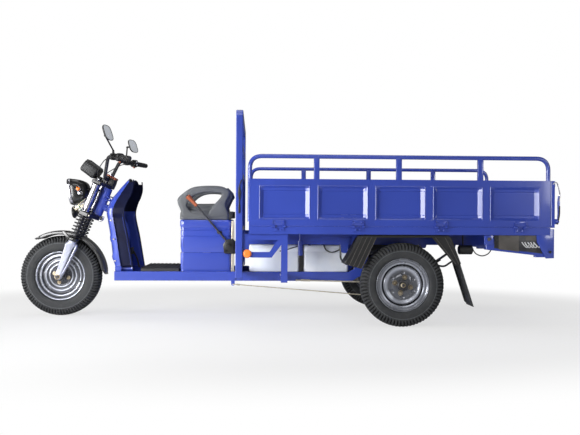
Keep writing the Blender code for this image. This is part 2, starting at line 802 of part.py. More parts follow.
def shield(name, look, inset, thick):
    """The shield's skin at an inset behind its outer face."""
    shape = bmesh.new()
    grid = []
    for z, front, rear in SHIELD_ROWS:
        if inset and z == SHIELD_ROWS[-1][0]:
            z -= 0.004
        half = (0.250 if z < 0.72 else 0.250 - 0.30 * (z - 0.72)) - inset
        stations = [(-1.0, 1.0), (-1.0, 0.30), (-0.93, 0.06), (-0.84, 0.0), (0, -0.09)]
        stations += [(-across, back) for across, back in reversed(stations[:-1])]
        grid.append([
            shape.verts.new(
                (front + inset + (rear - front - inset) * back, half * across, z)
            ) for across, back in stations
        ])
    for low, high in zip(grid, grid[1:]):
        for a, b, c, d in zip(low, low[1:], high[1:], high):
            shape.faces.new((a, b, c, d))
    made = from_bmesh(name, shape, look)
    smooth(skin(made, thick, 0))
    hole = rod(f"{name}_hole", (-1.150, 0, 0.722), (-1.030, 0, 0.667), 0.034)
    notch = box(f"{name}_notch", (-1.0380, -0.31, 0.30), (-0.9940, 0.31, RAIL_Z[1] + 0.0343))
    return cut(made, hole, notch)


shield("leg_shield", BLUE, 0.0, 0.003)
shield("leg_shield_liner", LINER, 0.0062, 0.003)

# Seat box with pressed ribs and a lock, and the seat on it
seat_box = box(
    "seat_box", (SEAT_BOX_X[0], -SEAT_BOX_Y, SEAT_BOX_Z[0]), (SEAT_BOX_X[1], SEAT_BOX_Y, SEAT_BOX_Z[1]),
    BLUE,
)
RIB_HEIGHTS = (0.355, 0.400, 0.500, 0.545, 0.590)
grooves = [
    box(f"rib_groove_{side}_{index}",
        (SEAT_BOX_X[0] + 0.020, side * SEAT_BOX_Y - 0.003, z), (SEAT_BOX_X[1] - 0.020, side * SEAT_BOX_Y + 0.003, z + 0.014))
    for side in (-1, 1) for index, z in enumerate(RIB_HEIGHTS)
]
hollow = box("seat_box_hollow", (SEAT_BOX_X[0] + 0.005, -SEAT_BOX_Y + 0.006, SEAT_BOX_Z[0] + 0.005),
             (SEAT_BOX_X[1] - 0.005, SEAT_BOX_Y - 0.006, SEAT_BOX_Z[1] + 0.05))
lock = rod(
    "seat_box_lock", (-0.375, -SEAT_BOX_Y - 0.005, 0.566), (-0.375, -SEAT_BOX_Y + 0.004, 0.566), 0.016,
    sides=20,
)
cut(seat_box, hollow, *grooves)
join(seat_box, lock)

seat = box("seat", (-0.640, -0.235, 0.6483), (-0.300, 0.235, 0.7200), GREY, 0.018, 2)
ARM_OUTLINE = [(-0.632, 0.690), (-0.650, 0.735), (-0.646, 0.772), (-0.600, 0.826), (-0.560, 0.856), (-0.480, 0.873),
               (-0.400, 0.872), (-0.330, 0.852), (-0.302, 0.825), (-0.300, 0.690)]
ARM_HOLE = [
    (-0.394, 0.792), (-0.372, 0.760), (-0.380, 0.735), (-0.452, 0.728), (-0.520, 0.748), (-0.511, 0.762),
]
arms = [
    bevel(plate(f"seat_arm_{side}", ARM_OUTLINE, *span(side, 0.195, 0.238),
                holes=[ARM_HOLE]), 0.010, 1)
    for side in (-1, 1)
]
back = box("seat_back", (-0.350, -0.2060, 0.695), (-0.3035, 0.2060, 0.866), edge=0.014, segments=1)
pads = box("seat_cushion", (-0.628, -0.1960, 0.700), (-0.340, 0.1960, 0.752), edge=0.018, segments=1)
join(seat, *arms, back, pads)
seat_axis = axis_empty("seat_hinge", (-0.632, 0, 0.6483))
ride(seat_axis, seat)

# Parking lever on its base beside the seat box
LEVER_PIVOT = (-0.310, 0.500)
LEVER_Y = (-0.2810, -0.2650)
lever_base = box(
    "lever_base", (-0.340, -0.2950, 0.430), (-0.268, -SEAT_BOX_Y - SEAT_GAP, 0.512), PLASTIC, 0.004,
)
slot = box("lever_slot", (-0.360, LEVER_Y[0] - 0.0008, 0.448), (-0.300, LEVER_Y[1] + 0.0008, 0.540))
slot_back = box("lever_slot_back", (-0.301, LEVER_Y[0] - 0.0008, 0.474), (-0.284, LEVER_Y[1] + 0.0008, 0.540))
lever_pin = rod(
    "lever_pin", (LEVER_PIVOT[0], -0.294, LEVER_PIVOT[1] - 0.010),
    (LEVER_PIVOT[0], -0.251, LEVER_PIVOT[1] - 0.010), 0.0040, sides=16,
)
cut(lever_base, slot, slot_back)
join(lever_base, lever_pin)
LEVER_MID_Y = (LEVER_Y[0] + LEVER_Y[1]) / 2
park_lever = rod(
    "park_lever", (LEVER_PIVOT[0], LEVER_MID_Y, LEVER_PIVOT[1] - 0.010), (-0.528, LEVER_MID_Y, 0.7450),
    0.0065, STEEL, 16,
)
grip_body = rod(
    "park_grip", (-0.512, LEVER_MID_Y, 0.7275), (-0.582, LEVER_MID_Y, 0.8010), 0.0120, sides=16,
    end_radius=0.0160,
)
lever_boss = rod(
    "lever_boss", (LEVER_PIVOT[0], LEVER_Y[0], LEVER_PIVOT[1] - 0.010),
    (LEVER_PIVOT[0], LEVER_Y[1], LEVER_PIVOT[1] - 0.010), 0.0120, sides=20,
)
lever_eye = rod(
    "park_lever_eye", (LEVER_PIVOT[0], -0.30, LEVER_PIVOT[1] - 0.010),
    (LEVER_PIVOT[0], -0.24, LEVER_PIVOT[1] - 0.010), 0.0040 + PIN_GAP, sides=16,
)
cut(join(park_lever, grip_body, lever_boss), lever_eye)
park_axis = axis_empty("park_lever_axis", (LEVER_PIVOT[0], LEVER_MID_Y, LEVER_PIVOT[1] - 0.010))
ride(park_axis, park_lever)

# Brake linkage: crank on the left lower rail and the rod that it pulls
CRANK = (-0.285, 0.285)
CRANK_ARM = 0.048
crank_y = (-RAIL_Y[1] - 0.0063, -RAIL_Y[1] - 0.0003)
brake_crank = plate(
    "brake_crank",
    rounded([(CRANK[0] - 0.016, CRANK[1] + 0.016), (CRANK[0] + 0.016, CRANK[1] + 0.016), (CRANK[0] + 0.010, CRANK[1] - CRANK_ARM - 0.010),
             (CRANK[0] - 0.010, CRANK[1] - CRANK_ARM - 0.010)], 0.008, 2, True),
    *crank_y, BLUE,
)
crank_axis = axis_empty("brake_crank_axis", (CRANK[0], crank_y[0], CRANK[1]))
ride(crank_axis, brake_crank)
ROD_Y = -0.3160
SHAFT_DROP = 0.0925
ROD_REAR = (0.620, REAR_TYRE_R - SHAFT_DROP)
rod_end = (CRANK[0], crank_y[0] - SEAT_GAP, CRANK[1] - CRANK_ARM)
brake_rod = pipe(
    "brake_rod", rounded(
        [rod_end, (CRANK[0], ROD_Y, rod_end[2]), (ROD_REAR[0], ROD_Y, ROD_REAR[1])], 0.006, 3,
    ), 0.003, WIRE, 1,
)
join(brake_rod, rod("rod_washer", rod_end, (rod_end[0], rod_end[1] - 0.003, rod_end[2]), 0.0075, sides=12))

# Foot pedal on the floor, right of the rider's middle
PEDAL_PIVOT = (-0.945, 0.150, 0.3000)
brake_pedal = box("brake_pedal", (-1.004, 0.112, 0.404), (-0.992, 0.188, 0.452), PLASTIC, 0.003)
pedal_arm = rod("pedal_arm", (PEDAL_PIVOT[0], 0.150, PEDAL_PIVOT[2]), (-0.996, 0.150, 0.420), 0.006, sides=12)
pedal_boss = rod(
    "pedal_boss", (PEDAL_PIVOT[0], 0.138, PEDAL_PIVOT[2]), (PEDAL_PIVOT[0], 0.162, PEDAL_PIVOT[2]),
    0.0110, sides=20,
)
pedal_eye = rod(
    "pedal_eye", (PEDAL_PIVOT[0], 0.12, PEDAL_PIVOT[2]), (PEDAL_PIVOT[0], 0.18, PEDAL_PIVOT[2]), 0.0044,
    sides=16,
)
cut(join(brake_pedal, pedal_arm, pedal_boss), pedal_eye)
pedal_axis = axis_empty("brake_pedal_axis", PEDAL_PIVOT)
ride(pedal_axis, brake_pedal)
pedal_ears = [
    box(
        f"pedal_ear_{side}", (PEDAL_PIVOT[0] - 0.012, 0.150 + side * 0.0165 - 0.004, 0.2840),
        (PEDAL_PIVOT[0] + 0.012, 0.150 + side * 0.0165 + 0.004, 0.3120),
    )
    for side in (-1, 1)
]
pedal_pin = rod(
    "pedal_pin", (PEDAL_PIVOT[0], 0.132, PEDAL_PIVOT[2]), (PEDAL_PIVOT[0], 0.168, PEDAL_PIVOT[2]), 0.0040,
    sides=16,
)
join(floor_pan, *pedal_ears, pedal_pin)


# Bed: floor on its channel, longitudinals with spring hangers, struts, guard
bed_floor = box(
    "bed_floor", (BED_X[0], -0.6095, BED_Z - SHEET - 0.0003), (BED_X[1], 0.6095, BED_Z - 0.0003), BLUE,
)
side_channels = [
    box(
        f"side_channel_{side}", (BED_X[0], min(side * 0.623, side * BOARD_Y), CHANNEL_Z),
        (BED_X[1], max(side * 0.623, side * BOARD_Y), BED_Z - 0.0003),
    )
    for side in (-1, 1)
]
side_flats = [
    box(
        f"side_flat_{side}", (BED_X[0], min(side * 0.600, side * 0.628), BED_Z - SHEET - 0.0003),
        (BED_X[1], max(side * 0.600, side * 0.628), BED_Z - 0.0003),
    )
    for side in (-1, 1)
]
cross_members = [
    box(f"cross_member_{index}", (x, -0.628, CHANNEL_Z), (x + 0.022, 0.628, BED_Z - 0.001))
    for index, x in enumerate((BED_X[0], 0.300, 0.745, 1.190, BED_X[1] - 0.022))
]
floor_knuckles = []
for side in (-1, 1):
    for index, x in enumerate(HINGES_X):
        for end in (-1, 1):
            middle = x + end * 0.028
            floor_knuckles.append(rod(
                f"floor_knuckle_{side}_{index}_{end}", (
                    middle - 0.0075, side * HINGE_Y, BED_Z,
                ), (middle + 0.0075, side * HINGE_Y, BED_Z),
                HINGE_R, sides=6))
            floor_knuckles.append(box(
                f"floor_leaf_{side}_{index}_{end}", (
                    middle - 0.0075, min(side * 0.630, side * 0.640), BED_Z - 0.030,
                ),
                (middle + 0.0075, max(side * 0.630, side * 0.640), BED_Z - 0.0010)))
join(bed_floor, *side_channels, *side_flats, *cross_members, *floor_knuckles)

LEAF_HALF = 0.340
LEAF_THICK = 0.007
LEAF_LOW = 0.3240
# Half length of each leaf and the depth of the pack's underside up to its end
LEAF_DROPS = [(LEAF_HALF, 0.002), (0.270, 0.0085), (0.200, 0.0150), (0.120, 0.0220)]
EYES_X = (REAR_X - LEAF_HALF, REAR_X + LEAF_HALF)
EYE_Z = 0.462
CHEEKS_Y = ((0.3680, 0.3750, 0.3680, 0.3820), (0.4250, 0.4320, 0.4180, 0.4285))


def leaf_z(x):
    """Height of the sagging leaf pack's upper leaf."""
    return LEAF_LOW + (EYE_Z - LEAF_LOW) * ((x - REAR_X) / LEAF_HALF) ** 2


for side, name in ((-1, "left"), (1, "right")):
    rail = box(
        f"bed_rail_{name}", (BED_X[0] + 0.001, span(side, *BED_RAIL_Y)[0], BED_RAIL_Z[0]),
        (1.648, span(side, *BED_RAIL_Y)[1], BED_RAIL_Z[1]), BLUE,
    )
    inside = box(
        f"bed_rail_hollow_{name}", (-0.30, span(side, 0.384, 0.416)[0], BED_RAIL_Z[0] + 0.004),
        (1.70, span(side, 0.384, 0.416)[1], BED_RAIL_Z[1] - 0.004),
    )
    cut(rail, inside)
    cheeks = []
    for index, x in enumerate(EYES_X):
        for near, far, pad_near, pad_far in CHEEKS_Y:
            outline = [
                (x - 0.035, 0.540), (x + 0.035, 0.540), (
                    x + 0.018, EYE_Z - 0.010,
                ), (x + 0.010, EYE_Z - 0.018),
                (x - 0.010, EYE_Z - 0.018), (x - 0.018, EYE_Z - 0.010),
            ]
            cheeks.append(plate(f"cheek_{name}_{index}_{near}", outline, *span(side, near, far)))
            y_low, y_high = span(side, pad_near, pad_far)
            cheeks.append(
                box(f"pad_{name}_{index}_{near}", (x - 0.034, y_low, 0.500), (x + 0.034, y_high, 0.538))
            )
        cheeks.append(
            rod(
                f"eye_pin_{name}_{index}", (x, side * 0.372, EYE_Z), (x, side * 0.428, EYE_Z), 0.006,
                sides=12,
            )
        )
    join(rail, *cheeks)

    # Leaves: the longest carries the eyes, each shorter one lies under it
    top = [(x, leaf_z(x) + LEAF_THICK) for x in (REAR_X + LEAF_HALF * k / 8 for k in range(-5, 6))]
    left_half = [(REAR_X - LEAF_HALF, leaf_z(REAR_X - LEAF_HALF) - LEAF_DROPS[0][1])]
    for (_, drop_before), (half, drop) in zip(LEAF_DROPS, LEAF_DROPS[1:]):
        left_half.append((REAR_X - half, leaf_z(REAR_X - half) - drop_before))
        left_half.append((REAR_X - half + 0.002, leaf_z(REAR_X - half) - drop))
    left_half.append((REAR_X - 0.060, leaf_z(REAR_X - 0.060) - 0.0235))
    right_half = [(2 * REAR_X - x, z) for x, z in reversed(left_half)]
    outline = left_half + right_half + list(reversed(top))
    leaf = plate(f"leaf_spring_{name}", outline, *span(side, 0.3765, 0.4235), SPRING_STEEL)
    eyes = [
        rod(
            f"leaf_eye_{name}_{index}", (x, side * 0.3765, EYE_Z), (x, side * 0.4235, EYE_Z), 0.0155,
            sides=12,
        )
        for index, x in enumerate(EYES_X)
    ]
    bores = [
        rod(f"leaf_bore_{name}_{index}", (x, side * 0.36, EYE_Z), (x, side * 0.44, EYE_Z), 0.0065, sides=12)
        for index, x in enumerate(EYES_X)
    ]
    cut(join(leaf, *eyes), *bores)

    # Front strut of the bed with its outrigger to the lower rail
    y_low, y_high = span(side, *STRUT_Y)
    strut = plate(
        f"bed_strut_{name}",
        [
            (-0.2195, CHANNEL_Z - SEAT_GAP), (-0.2195, 0.424), (-0.045, 0.424), (0.012, 0.500),
            (0.012, 0.273), (0.051, 0.273), (0.051, CHANNEL_Z - SEAT_GAP),
        ],
        y_low, y_high, BLUE, [[(-0.182, 0.530), (-0.182, 0.457), (-0.058, 0.457), (-0.010, 0.530)]],
    )
    outrigger = box(
        f"outrigger_{name}", (0.012, span(side, RAIL_Y[1] + SEAT_GAP, 0.600)[0], 0.275),
        (0.051, span(side, RAIL_Y[1] + SEAT_GAP, 0.600)[1], 0.310),
    )
    join(strut, outrigger)
    bevel(strut, 0.002, 1)

    # Post and lamp plate at the tail
    tail = plate(
        f"tail_bracket_{name}",
        [
            (1.259, 0.5657), (1.259, 0.477), (1.562, 0.444), (1.562, 0.432), (1.667, 0.432),
            (1.667, 0.5640), (1.650, 0.5657),
        ],
        *span(side, 0.592, 0.622), BLACK,
    )
    bevel(tail, 0.002, 1)

guard_outer = rounded(
    [(-GUARD_Y, GUARD_LOW), (-GUARD_Y, GUARD_TOP), (GUARD_Y, GUARD_TOP), (GUARD_Y, GUARD_LOW)], 0.035, 3,
)
guard_inner_y = GUARD_Y - GUARD_TUBE
guard_inner = rounded(
    [
        (guard_inner_y, GUARD_LOW), (guard_inner_y, GUARD_TOP - GUARD_TUBE),
        (-guard_inner_y, GUARD_TOP - GUARD_TUBE), (-guard_inner_y, GUARD_LOW),
    ],
    0.012, 2,
)
front_guard = plate("front_guard", guard_outer + guard_inner, GUARD_X[0], GUARD_X[1], BLUE)
front_guard.location = ((GUARD_X[0] + GUARD_X[1]) / 2, 0, 0)
front_guard.rotation_euler = (0, 0, math.radians(90))
crossbars = [
    box(f"guard_bar_{index}", (GUARD_X[0] + 0.004, -0.600, z), (GUARD_X[1] - 0.004, 0.600, z + height))
    for index, (z, height) in enumerate(
        ((RAIL_Z[1] + SEAT_GAP, 0.035), (0.566, 0.040), (0.918, 0.030), (1.100, 0.026))
    )
]
headboard = box("headboard", (-0.2425, -0.6000, 0.6000), (-0.2395, 0.6000, 0.9250))
head_ribs = [
    box(f"head_rib_{index}", (-0.2520, y - 0.020, 0.6300), (-0.2400, y + 0.020, 0.8950), edge=0.006)
    for index, y in enumerate((-0.40, -0.20, 0.0, 0.20, 0.40))
]
bevel(front_guard, 0.004, 1)
join(front_guard, *crossbars, headboard, *head_ribs)


# Side boards and tailgate: pressed sheets with folded edges
def pressed(name, length, height, panels, panel_z, look):
    """A sheet in the XZ plane facing -Y with sunk panels and edges folded back, its low front corner at the origin."""
    shape = bmesh.new()
    points = {}

    def corner(x, y, z):
        key = (round(x, 5), round(y, 5), round(z, 5))
        if key not in points:
            points[key] = shape.verts.new(key)
        return points[key]

    low, high = panel_z
    breaks = [0.0, *(x for pair in panels for x in pair), length]
    for row, (z0, z1) in enumerate(((0, low), (low, high), (high, height))):
        for column, (x0, x1) in enumerate(zip(breaks, breaks[1:])):
            outer = [corner(x0, 0, z0), corner(x1, 0, z0), corner(x1, 0, z1), corner(x0, 0, z1)]
            if row != 1 or column % 2 == 0:
                shape.faces.new(outer)
                continue
            s = PANEL_SLOPE
            inner = [corner(x0 + s, PANEL_DEPTH, z0 + s), corner(x1 - s, PANEL_DEPTH, z0 + s),
                     corner(x1 - s, PANEL_DEPTH, z1 - s), corner(x0 + s, PANEL_DEPTH, z1 - s)]
            shape.faces.new(inner)
            for k in range(4):
                shape.faces.new((outer[k], outer[(k + 1) % 4], inner[(k + 1) % 4], inner[k]))
    border = [(x, 0) for x in breaks] + [(length, z) for z in (low, high)]
    border += [(x, height) for x in reversed(breaks)] + [(0, z) for z in (high, low)]
    for (xa, za), (xb, zb) in zip(border, border[1:] + border[:1]):
        shape.faces.new((
            corner(xa, 0, za), corner(xa, BOARD_FOLD, za), corner(xb, BOARD_FOLD, zb), corner(xb, 0, zb),
        ))
    return from_bmesh(name, shape, look, False)


PANELS = [
    (
        PANEL_FIRST - BED_X[0] + PANEL_PITCH * k, PANEL_FIRST - BED_X[0] + PANEL_PITCH * k + PANEL_LENGTH,
    ) for k in range(5)
]
BOARD_LOW = BED_Z + SEAT_GAP
PANEL_HEIGHTS = (PANEL_Z[0] - BOARD_LOW, PANEL_Z[1] - BOARD_LOW)
for side, name in ((-1, "left"), (1, "right")):
    board = pressed(
        f"side_board_{name}", BED_X[1] - BED_X[0], BOARD_TOP - BOARD_LOW, PANELS, PANEL_HEIGHTS, BLUE,
    )
    if side > 0:
        board.data.transform(Matrix.Scale(-1, 4, (0, 1, 0)))
        board.data.flip_normals()
    board.location = (BED_X[0], side * BOARD_Y, BOARD_LOW)
    skin(board, SHEET, -1)
    rail_y = side * (BOARD_Y - RAIL_R - 0.002)
    ends = (BED_X[0] + RAIL_R + 0.0005, BED_X[1] - RAIL_R - 0.0005)
    rail = pipe(
        f"board_rail_{name}",
        rounded(
            [
                (ends[0], rail_y, BOARD_TOP - 0.040), (ends[0], rail_y, RAIL_TOP),
                (ends[1], rail_y, RAIL_TOP), (ends[1], rail_y, BOARD_TOP - 0.040),
            ],
            0.075, 4,
        ),
        RAIL_R, sides=2,
    )
    posts = [
        box(
            f"board_post_{name}_{index}", (x - POST_W / 2, rail_y - 0.006, BOARD_TOP - 0.0015),
            (x + POST_W / 2, rail_y + 0.006, RAIL_TOP),
        )
        for index, x in enumerate(POSTS_X)
    ]
    leaves = []
    for index, x in enumerate(HINGES_X):
        face = (side * (BOARD_Y - 0.001), side * (HINGE_Y - 0.005))
        leaves.append(
            box(
                f"board_leaf_{name}_{index}", (x - 0.035, min(face), BED_Z + 0.0095),
                (x + 0.035, max(face), BED_Z + 0.033),
            )
        )
        leaves.append(
            box(
                f"board_tongue_{name}_{index}", (x - 0.0198, min(face), BED_Z + 0.0015),
                (x + 0.0198, max(face), BED_Z + 0.012),
            )
        )
        leaves.append(
            rod(
                f"board_knuckle_{name}_{index}", (x - 0.0198, side * HINGE_Y, BED_Z),
                (x + 0.0198, side * HINGE_Y, BED_Z), HINGE_R, sides=6,
            )
        )
    join(board, rail, *posts, *leaves)
    board_axis = axis_empty(f"side_board_hinge_{name}", (0, side * HINGE_Y, BED_Z))
    ride(board_axis, board)

GATE_Y = 0.633
GATE_FACE = TAIL_X + BOARD_FOLD
GATE_HINGE = (GATE_FACE + 0.0085, BED_Z)
GATE_PANELS = [(0.050 + 0.3975 * k, 0.050 + 0.3975 * k + 0.3710) for k in range(3)]
tailgate = pressed("tailgate", 2 * GATE_Y, BOARD_TOP - BOARD_LOW, GATE_PANELS, PANEL_HEIGHTS, BLUE)
tailgate.rotation_euler = (0, 0, math.radians(90))
tailgate.location = (GATE_FACE, -GATE_Y, BOARD_LOW)
skin(tailgate, SHEET, -1)
gate_leaves = []
gate_knuckles = []
for index, y in enumerate((-0.42, 0.0, 0.42)):
    gate_leaves.append(
        box(
            f"gate_leaf_{index}", (GATE_FACE - 0.001, y - 0.035, BED_Z + 0.0095),
            (GATE_FACE + 0.0035, y + 0.035, BED_Z + 0.033),
        )
    )
    gate_leaves.append(
        box(
            f"gate_tongue_{index}", (GATE_FACE - 0.001, y - 0.0198, BED_Z + 0.0015),
            (GATE_FACE + 0.0035, y + 0.0198, BED_Z + 0.012),
        )
    )
    gate_leaves.append(
        rod(
            f"gate_knuckle_{index}", (GATE_HINGE[0], y - 0.0198, BED_Z),
            (GATE_HINGE[0], y + 0.0198, BED_Z), HINGE_R, sides=6,
        )
    )
    for end in (-1, 1):
        middle = y + end * 0.028
        gate_knuckles.append(
            rod(
                f"floor_gate_knuckle_{index}_{end}", (GATE_HINGE[0], middle - 0.0075, BED_Z),
                (GATE_HINGE[0], middle + 0.0075, BED_Z), HINGE_R, sides=6,
            )
        )
        gate_knuckles.append(
            box(
                f"floor_gate_leaf_{index}_{end}", (BED_X[1] - 0.010, middle - 0.0075, BED_Z - 0.030),
                (GATE_HINGE[0], middle + 0.0075, BED_Z - 0.0010),
            )
        )
join(bed_floor, *gate_knuckles)
LATCH_PIVOT = (1.6920, 0.6500)
lugs = []
for side, name in ((-1, "left"), (1, "right")):
    y_low, y_high = span(side, 0.6180, 0.6365)
    lugs.append(
        box(
            f"latch_lug_{name}", (GATE_FACE - 0.001, y_low, LATCH_PIVOT[1] - 0.009),
            (LATCH_PIVOT[0] + 0.008, y_high, LATCH_PIVOT[1] + 0.009),
        )
    )
    lugs.append(
        rod(
            f"latch_pin_{name}", (LATCH_PIVOT[0], side * 0.630, LATCH_PIVOT[1]),
            (LATCH_PIVOT[0], side * 0.6470, LATCH_PIVOT[1]), 0.0035, sides=12,
        )
    )
    latch_line = [(1.6840, 0.6320), (1.7000, 0.6320), (1.7070, 0.7500), (1.7090, 0.8140), (1.6860, 0.8880), (1.6560, 0.8880),
                  (1.6560, 0.8760), (1.6760, 0.8740), (1.6920, 0.8120), (1.6940, 0.7500)]
    latch = plate(
        f"latch_{name}", rounded(latch_line, 0.010, 2, True), *span(side, 0.6368, 0.6428), STEEL,
        [circle(LATCH_PIVOT[0], LATCH_PIVOT[1], 0.0035 + PIN_GAP, 12)],
    )
    latch_axis = axis_empty(f"latch_axis_{name}", (LATCH_PIVOT[0], side * 0.640, LATCH_PIVOT[1]))
    ride(latch_axis, latch)
join(tailgate, *gate_leaves, *lugs)
gate_axis = axis_empty("tailgate_hinge", (GATE_HINGE[0], 0, GATE_HINGE[1]))
ride(gate_axis, tailgate)


# Rear mudguards: an angular arch with an outer side lip, and a hanging flap
GUARD_LINE = [(0.397, 0.386), (0.497, 0.5570), (1.036, 0.5590), (1.102, 0.388)]
MUD_Y = (0.450, 0.620)
for side, name in ((-1, "left"), (1, "right")):
    inner_line = [(1.0985, 0.3880), (1.0335, 0.5560), (0.4995, 0.5540), (0.4005, 0.3860)]
    guard = plate(f"mudguard_{name}", GUARD_LINE + inner_line, *span(side, *MUD_Y), BLACK)
    lips = [
        plate(
            f"lip_front_{name}", [(0.3990, 0.3860), (0.4985, 0.5560), (0.5880, 0.5560), (0.4730, 0.3740)],
            *span(side, 0.617, MUD_Y[1]),
        ),
        plate(
            f"lip_rear_{name}", [(0.9320, 0.5570), (1.0345, 0.5570), (1.1000, 0.3880), (1.0620, 0.4000)],
            *span(side, 0.617, MUD_Y[1]),
        ),
        plate(
            f"flap_{name}", [(1.0970, 0.3980), (1.1010, 0.3980), (1.1890, 0.1280), (1.1850, 0.1280)],
            *span(side, 0.462, 0.612),
        ),
        plate(
            f"flap_lip_{name}", [(1.0600, 0.4060), (1.0990, 0.4060), (1.1870, 0.1280), (1.1370, 0.1480)],
            *span(side, 0.6090, 0.6120),
        ),
        plate(
            f"flap_rib_{name}", [(1.0970, 0.3880), (1.1020, 0.3880), (1.1020, 0.3720), (1.0970, 0.3720)],
            *span(side, 0.455, 0.6185),
        ),
        box(
            f"guard_pad_{name}", (0.560, span(side, 0.500, 0.560)[0], 0.5560),
            (0.950, span(side, 0.500, 0.560)[1], CHANNEL_Z - SEAT_GAP),
        ),
    ]
    join(guard, *lips)

battery_box = box(
    "battery_box", (-0.183, -0.2995, RAIL_Z[1] + SEAT_GAP), (0.458, 0.2995, 0.489), BATTERY, 0.006, 2,
)
BATTERY_STRAP_X = (0.140, 0.166)
strap = box(
    "battery_strap", (BATTERY_STRAP_X[0], -0.3015, RAIL_Z[1] + SEAT_GAP),
    (BATTERY_STRAP_X[1], 0.3015, 0.491),
)
join(battery_box, strap)


# Rear axle with its gear case, drums, spindles and the brake shaft, and the motor on the case
def across(name, radius, low, high, x=REAR_X, z=REAR_TYRE_R, look=None, sides=12):
    return rod(name, (x, low, z), (x, high, z), radius, look, sides)


rear_axle = across("rear_axle", 0.032, -0.450, 0.450, look=STEEL)
MOTOR_X = 0.626
SHAFT_ARM = [(-0.108, -0.009), (0.008, -0.009), (0.008, 0.085), (-0.021, 0.085), (-0.021, 0.021), (-0.108, 0.010)]
pieces = [
    across("gear_case", 0.090, -0.060, 0.060),
    across("gear_nose", 0.072, -0.060, 0.060, x=MOTOR_X),
    box("gear_bridge", (MOTOR_X, -0.060, REAR_TYRE_R - 0.070), (REAR_X, 0.060, REAR_TYRE_R + 0.070)),
    across("brake_shaft", 0.005, -0.430, 0.430, x=REAR_X - 0.100, z=REAR_TYRE_R - SHAFT_DROP, sides=12),
]
for side in (-1, 1):
    y_low, y_high = span(side, 0.435, 0.4995)
    pieces += [
        across(f"drum_{side}", 0.085, y_low, y_high),
        across(f"spindle_{side}", SPINDLE_R, *span(side, 0.490, 0.602), sides=24),
        across(f"hub_nut_{side}", 0.018, *span(side, 0.5885, 0.5985), sides=6),
        box(
            f"spring_pad_{side}", (REAR_X - 0.050, span(side, 0.372, 0.428)[0], REAR_TYRE_R),
            (REAR_X + 0.050, span(side, 0.372, 0.428)[1], 0.3045),
        ),
        plate(
            f"shaft_arm_{side}",
            [(REAR_X + x, REAR_TYRE_R - SHAFT_DROP + z) for x, z in SHAFT_ARM],
            *span(side, 0.405, 0.413),
        ),
    ]
join(rear_axle, *pieces)
drive_motor = across("drive_motor", 0.068, 0.0603, 0.2500, x=MOTOR_X, look=STEEL)
bevel(drive_motor, 0.010, 1)
suspension = axis_empty("rear_axle_travel", (REAR_X, 0, REAR_TYRE_R))
ride(suspension, rear_axle, drive_motor)
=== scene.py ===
import math

import bmesh
import bpy
import numpy as np
from mathutils import Matrix, Vector


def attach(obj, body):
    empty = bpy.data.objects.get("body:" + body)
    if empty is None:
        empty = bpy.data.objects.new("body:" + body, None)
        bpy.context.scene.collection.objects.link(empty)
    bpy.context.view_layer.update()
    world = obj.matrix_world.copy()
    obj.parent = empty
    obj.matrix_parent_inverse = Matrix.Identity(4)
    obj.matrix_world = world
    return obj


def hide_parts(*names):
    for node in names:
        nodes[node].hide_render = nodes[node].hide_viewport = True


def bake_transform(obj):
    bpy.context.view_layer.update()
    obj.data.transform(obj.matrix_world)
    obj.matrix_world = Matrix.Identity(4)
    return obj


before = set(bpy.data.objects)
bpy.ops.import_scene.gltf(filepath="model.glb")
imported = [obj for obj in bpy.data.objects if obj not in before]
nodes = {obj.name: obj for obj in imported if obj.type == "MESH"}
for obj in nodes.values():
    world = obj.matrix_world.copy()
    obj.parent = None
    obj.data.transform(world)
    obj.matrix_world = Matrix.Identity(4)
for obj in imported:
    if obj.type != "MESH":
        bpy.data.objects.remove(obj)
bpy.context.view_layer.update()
sides = ((-1, "left"), (1, "right"))
wheel = {
    "rimRadius": 0.161, "grooveDepth": 0.0092, "shoulder": 0.6, "boltCircle": 0.048, "studCircle": 0.05,
    "frontAt": (-1.442, 0, 0.267), "frontTyre": (0.267, 0.11, 80),  # radius, width, lugs
    "rearX": 0.756, "rearY": 0.55, "rearZ": 0.2575, "rearTyre": (0.2575, 0.105, 72),
}
rearAt = {name: (wheel["rearX"], side * wheel["rearY"], wheel["rearZ"]) for side, name in sides}

# Shapes
# A shape is (points, faces): an array of places and a list of corner numbers.


def grid(points, aroundU=False, aroundV=False, capLow=False, capHigh=False):
    # points[u, v] joined in quads, closed round either way, with a flat face over the first or last row
    m, n = points.shape[:2]
    ids = np.arange(m * n).reshape(m, n)
    rows = np.vstack([ids, ids[:1]]) if aroundU else ids
    rows = np.hstack([rows, rows[:, :1]]) if aroundV else rows
    quads = np.stack([rows[:-1, :-1], rows[1:, :-1], rows[1:, 1:], rows[:-1, 1:]], -1).reshape(-1, 4)
    faces = quads.tolist()
    if capLow:
        faces.append(ids[0].tolist())
    if capHigh:
        faces.append(ids[-1, ::-1].tolist())
    return points.reshape(-1, 3), faces


def joined(shapes):
    # the corner numbers of each shape move up by the points before it
    points, faces, base = [], [], 0
    for somePoints, someFaces in shapes:
        points.append(somePoints)
        faces += [[corner + base for corner in face] for face in someFaces]
        base += len(somePoints)
    return np.concatenate(points), faces


def moved(shape, at=(0, 0, 0), turn=None):
    # one shape or a list of them; turn is a 3 by 3 array whose columns are the new x, y and z
    if isinstance(shape, list):
        return [moved(one, at, turn) for one in shape]
    points = shape[0] @ np.array(turn, float).T if turn is not None else shape[0]
    return points + np.array(at, float), shape[1]


def unit(v):
    v = np.array(v, float)
    return v / np.linalg.norm(v, axis=-1, keepdims=True)


def facing(z, x=(0, 0, 1)):
    # axes with the given z, and x as near as it can be to the one asked for
    z = unit(z)
    x = np.array(x, float)
    if abs(x @ z) > 0.99:
        x = np.array((1.0, 0, 0))
    x = unit(x - (x @ z) * z)
    return np.stack([x, np.cross(z, x), z], 1)


def evenAngles(count):
    return np.linspace(0, 2 * np.pi, count, endpoint=False)


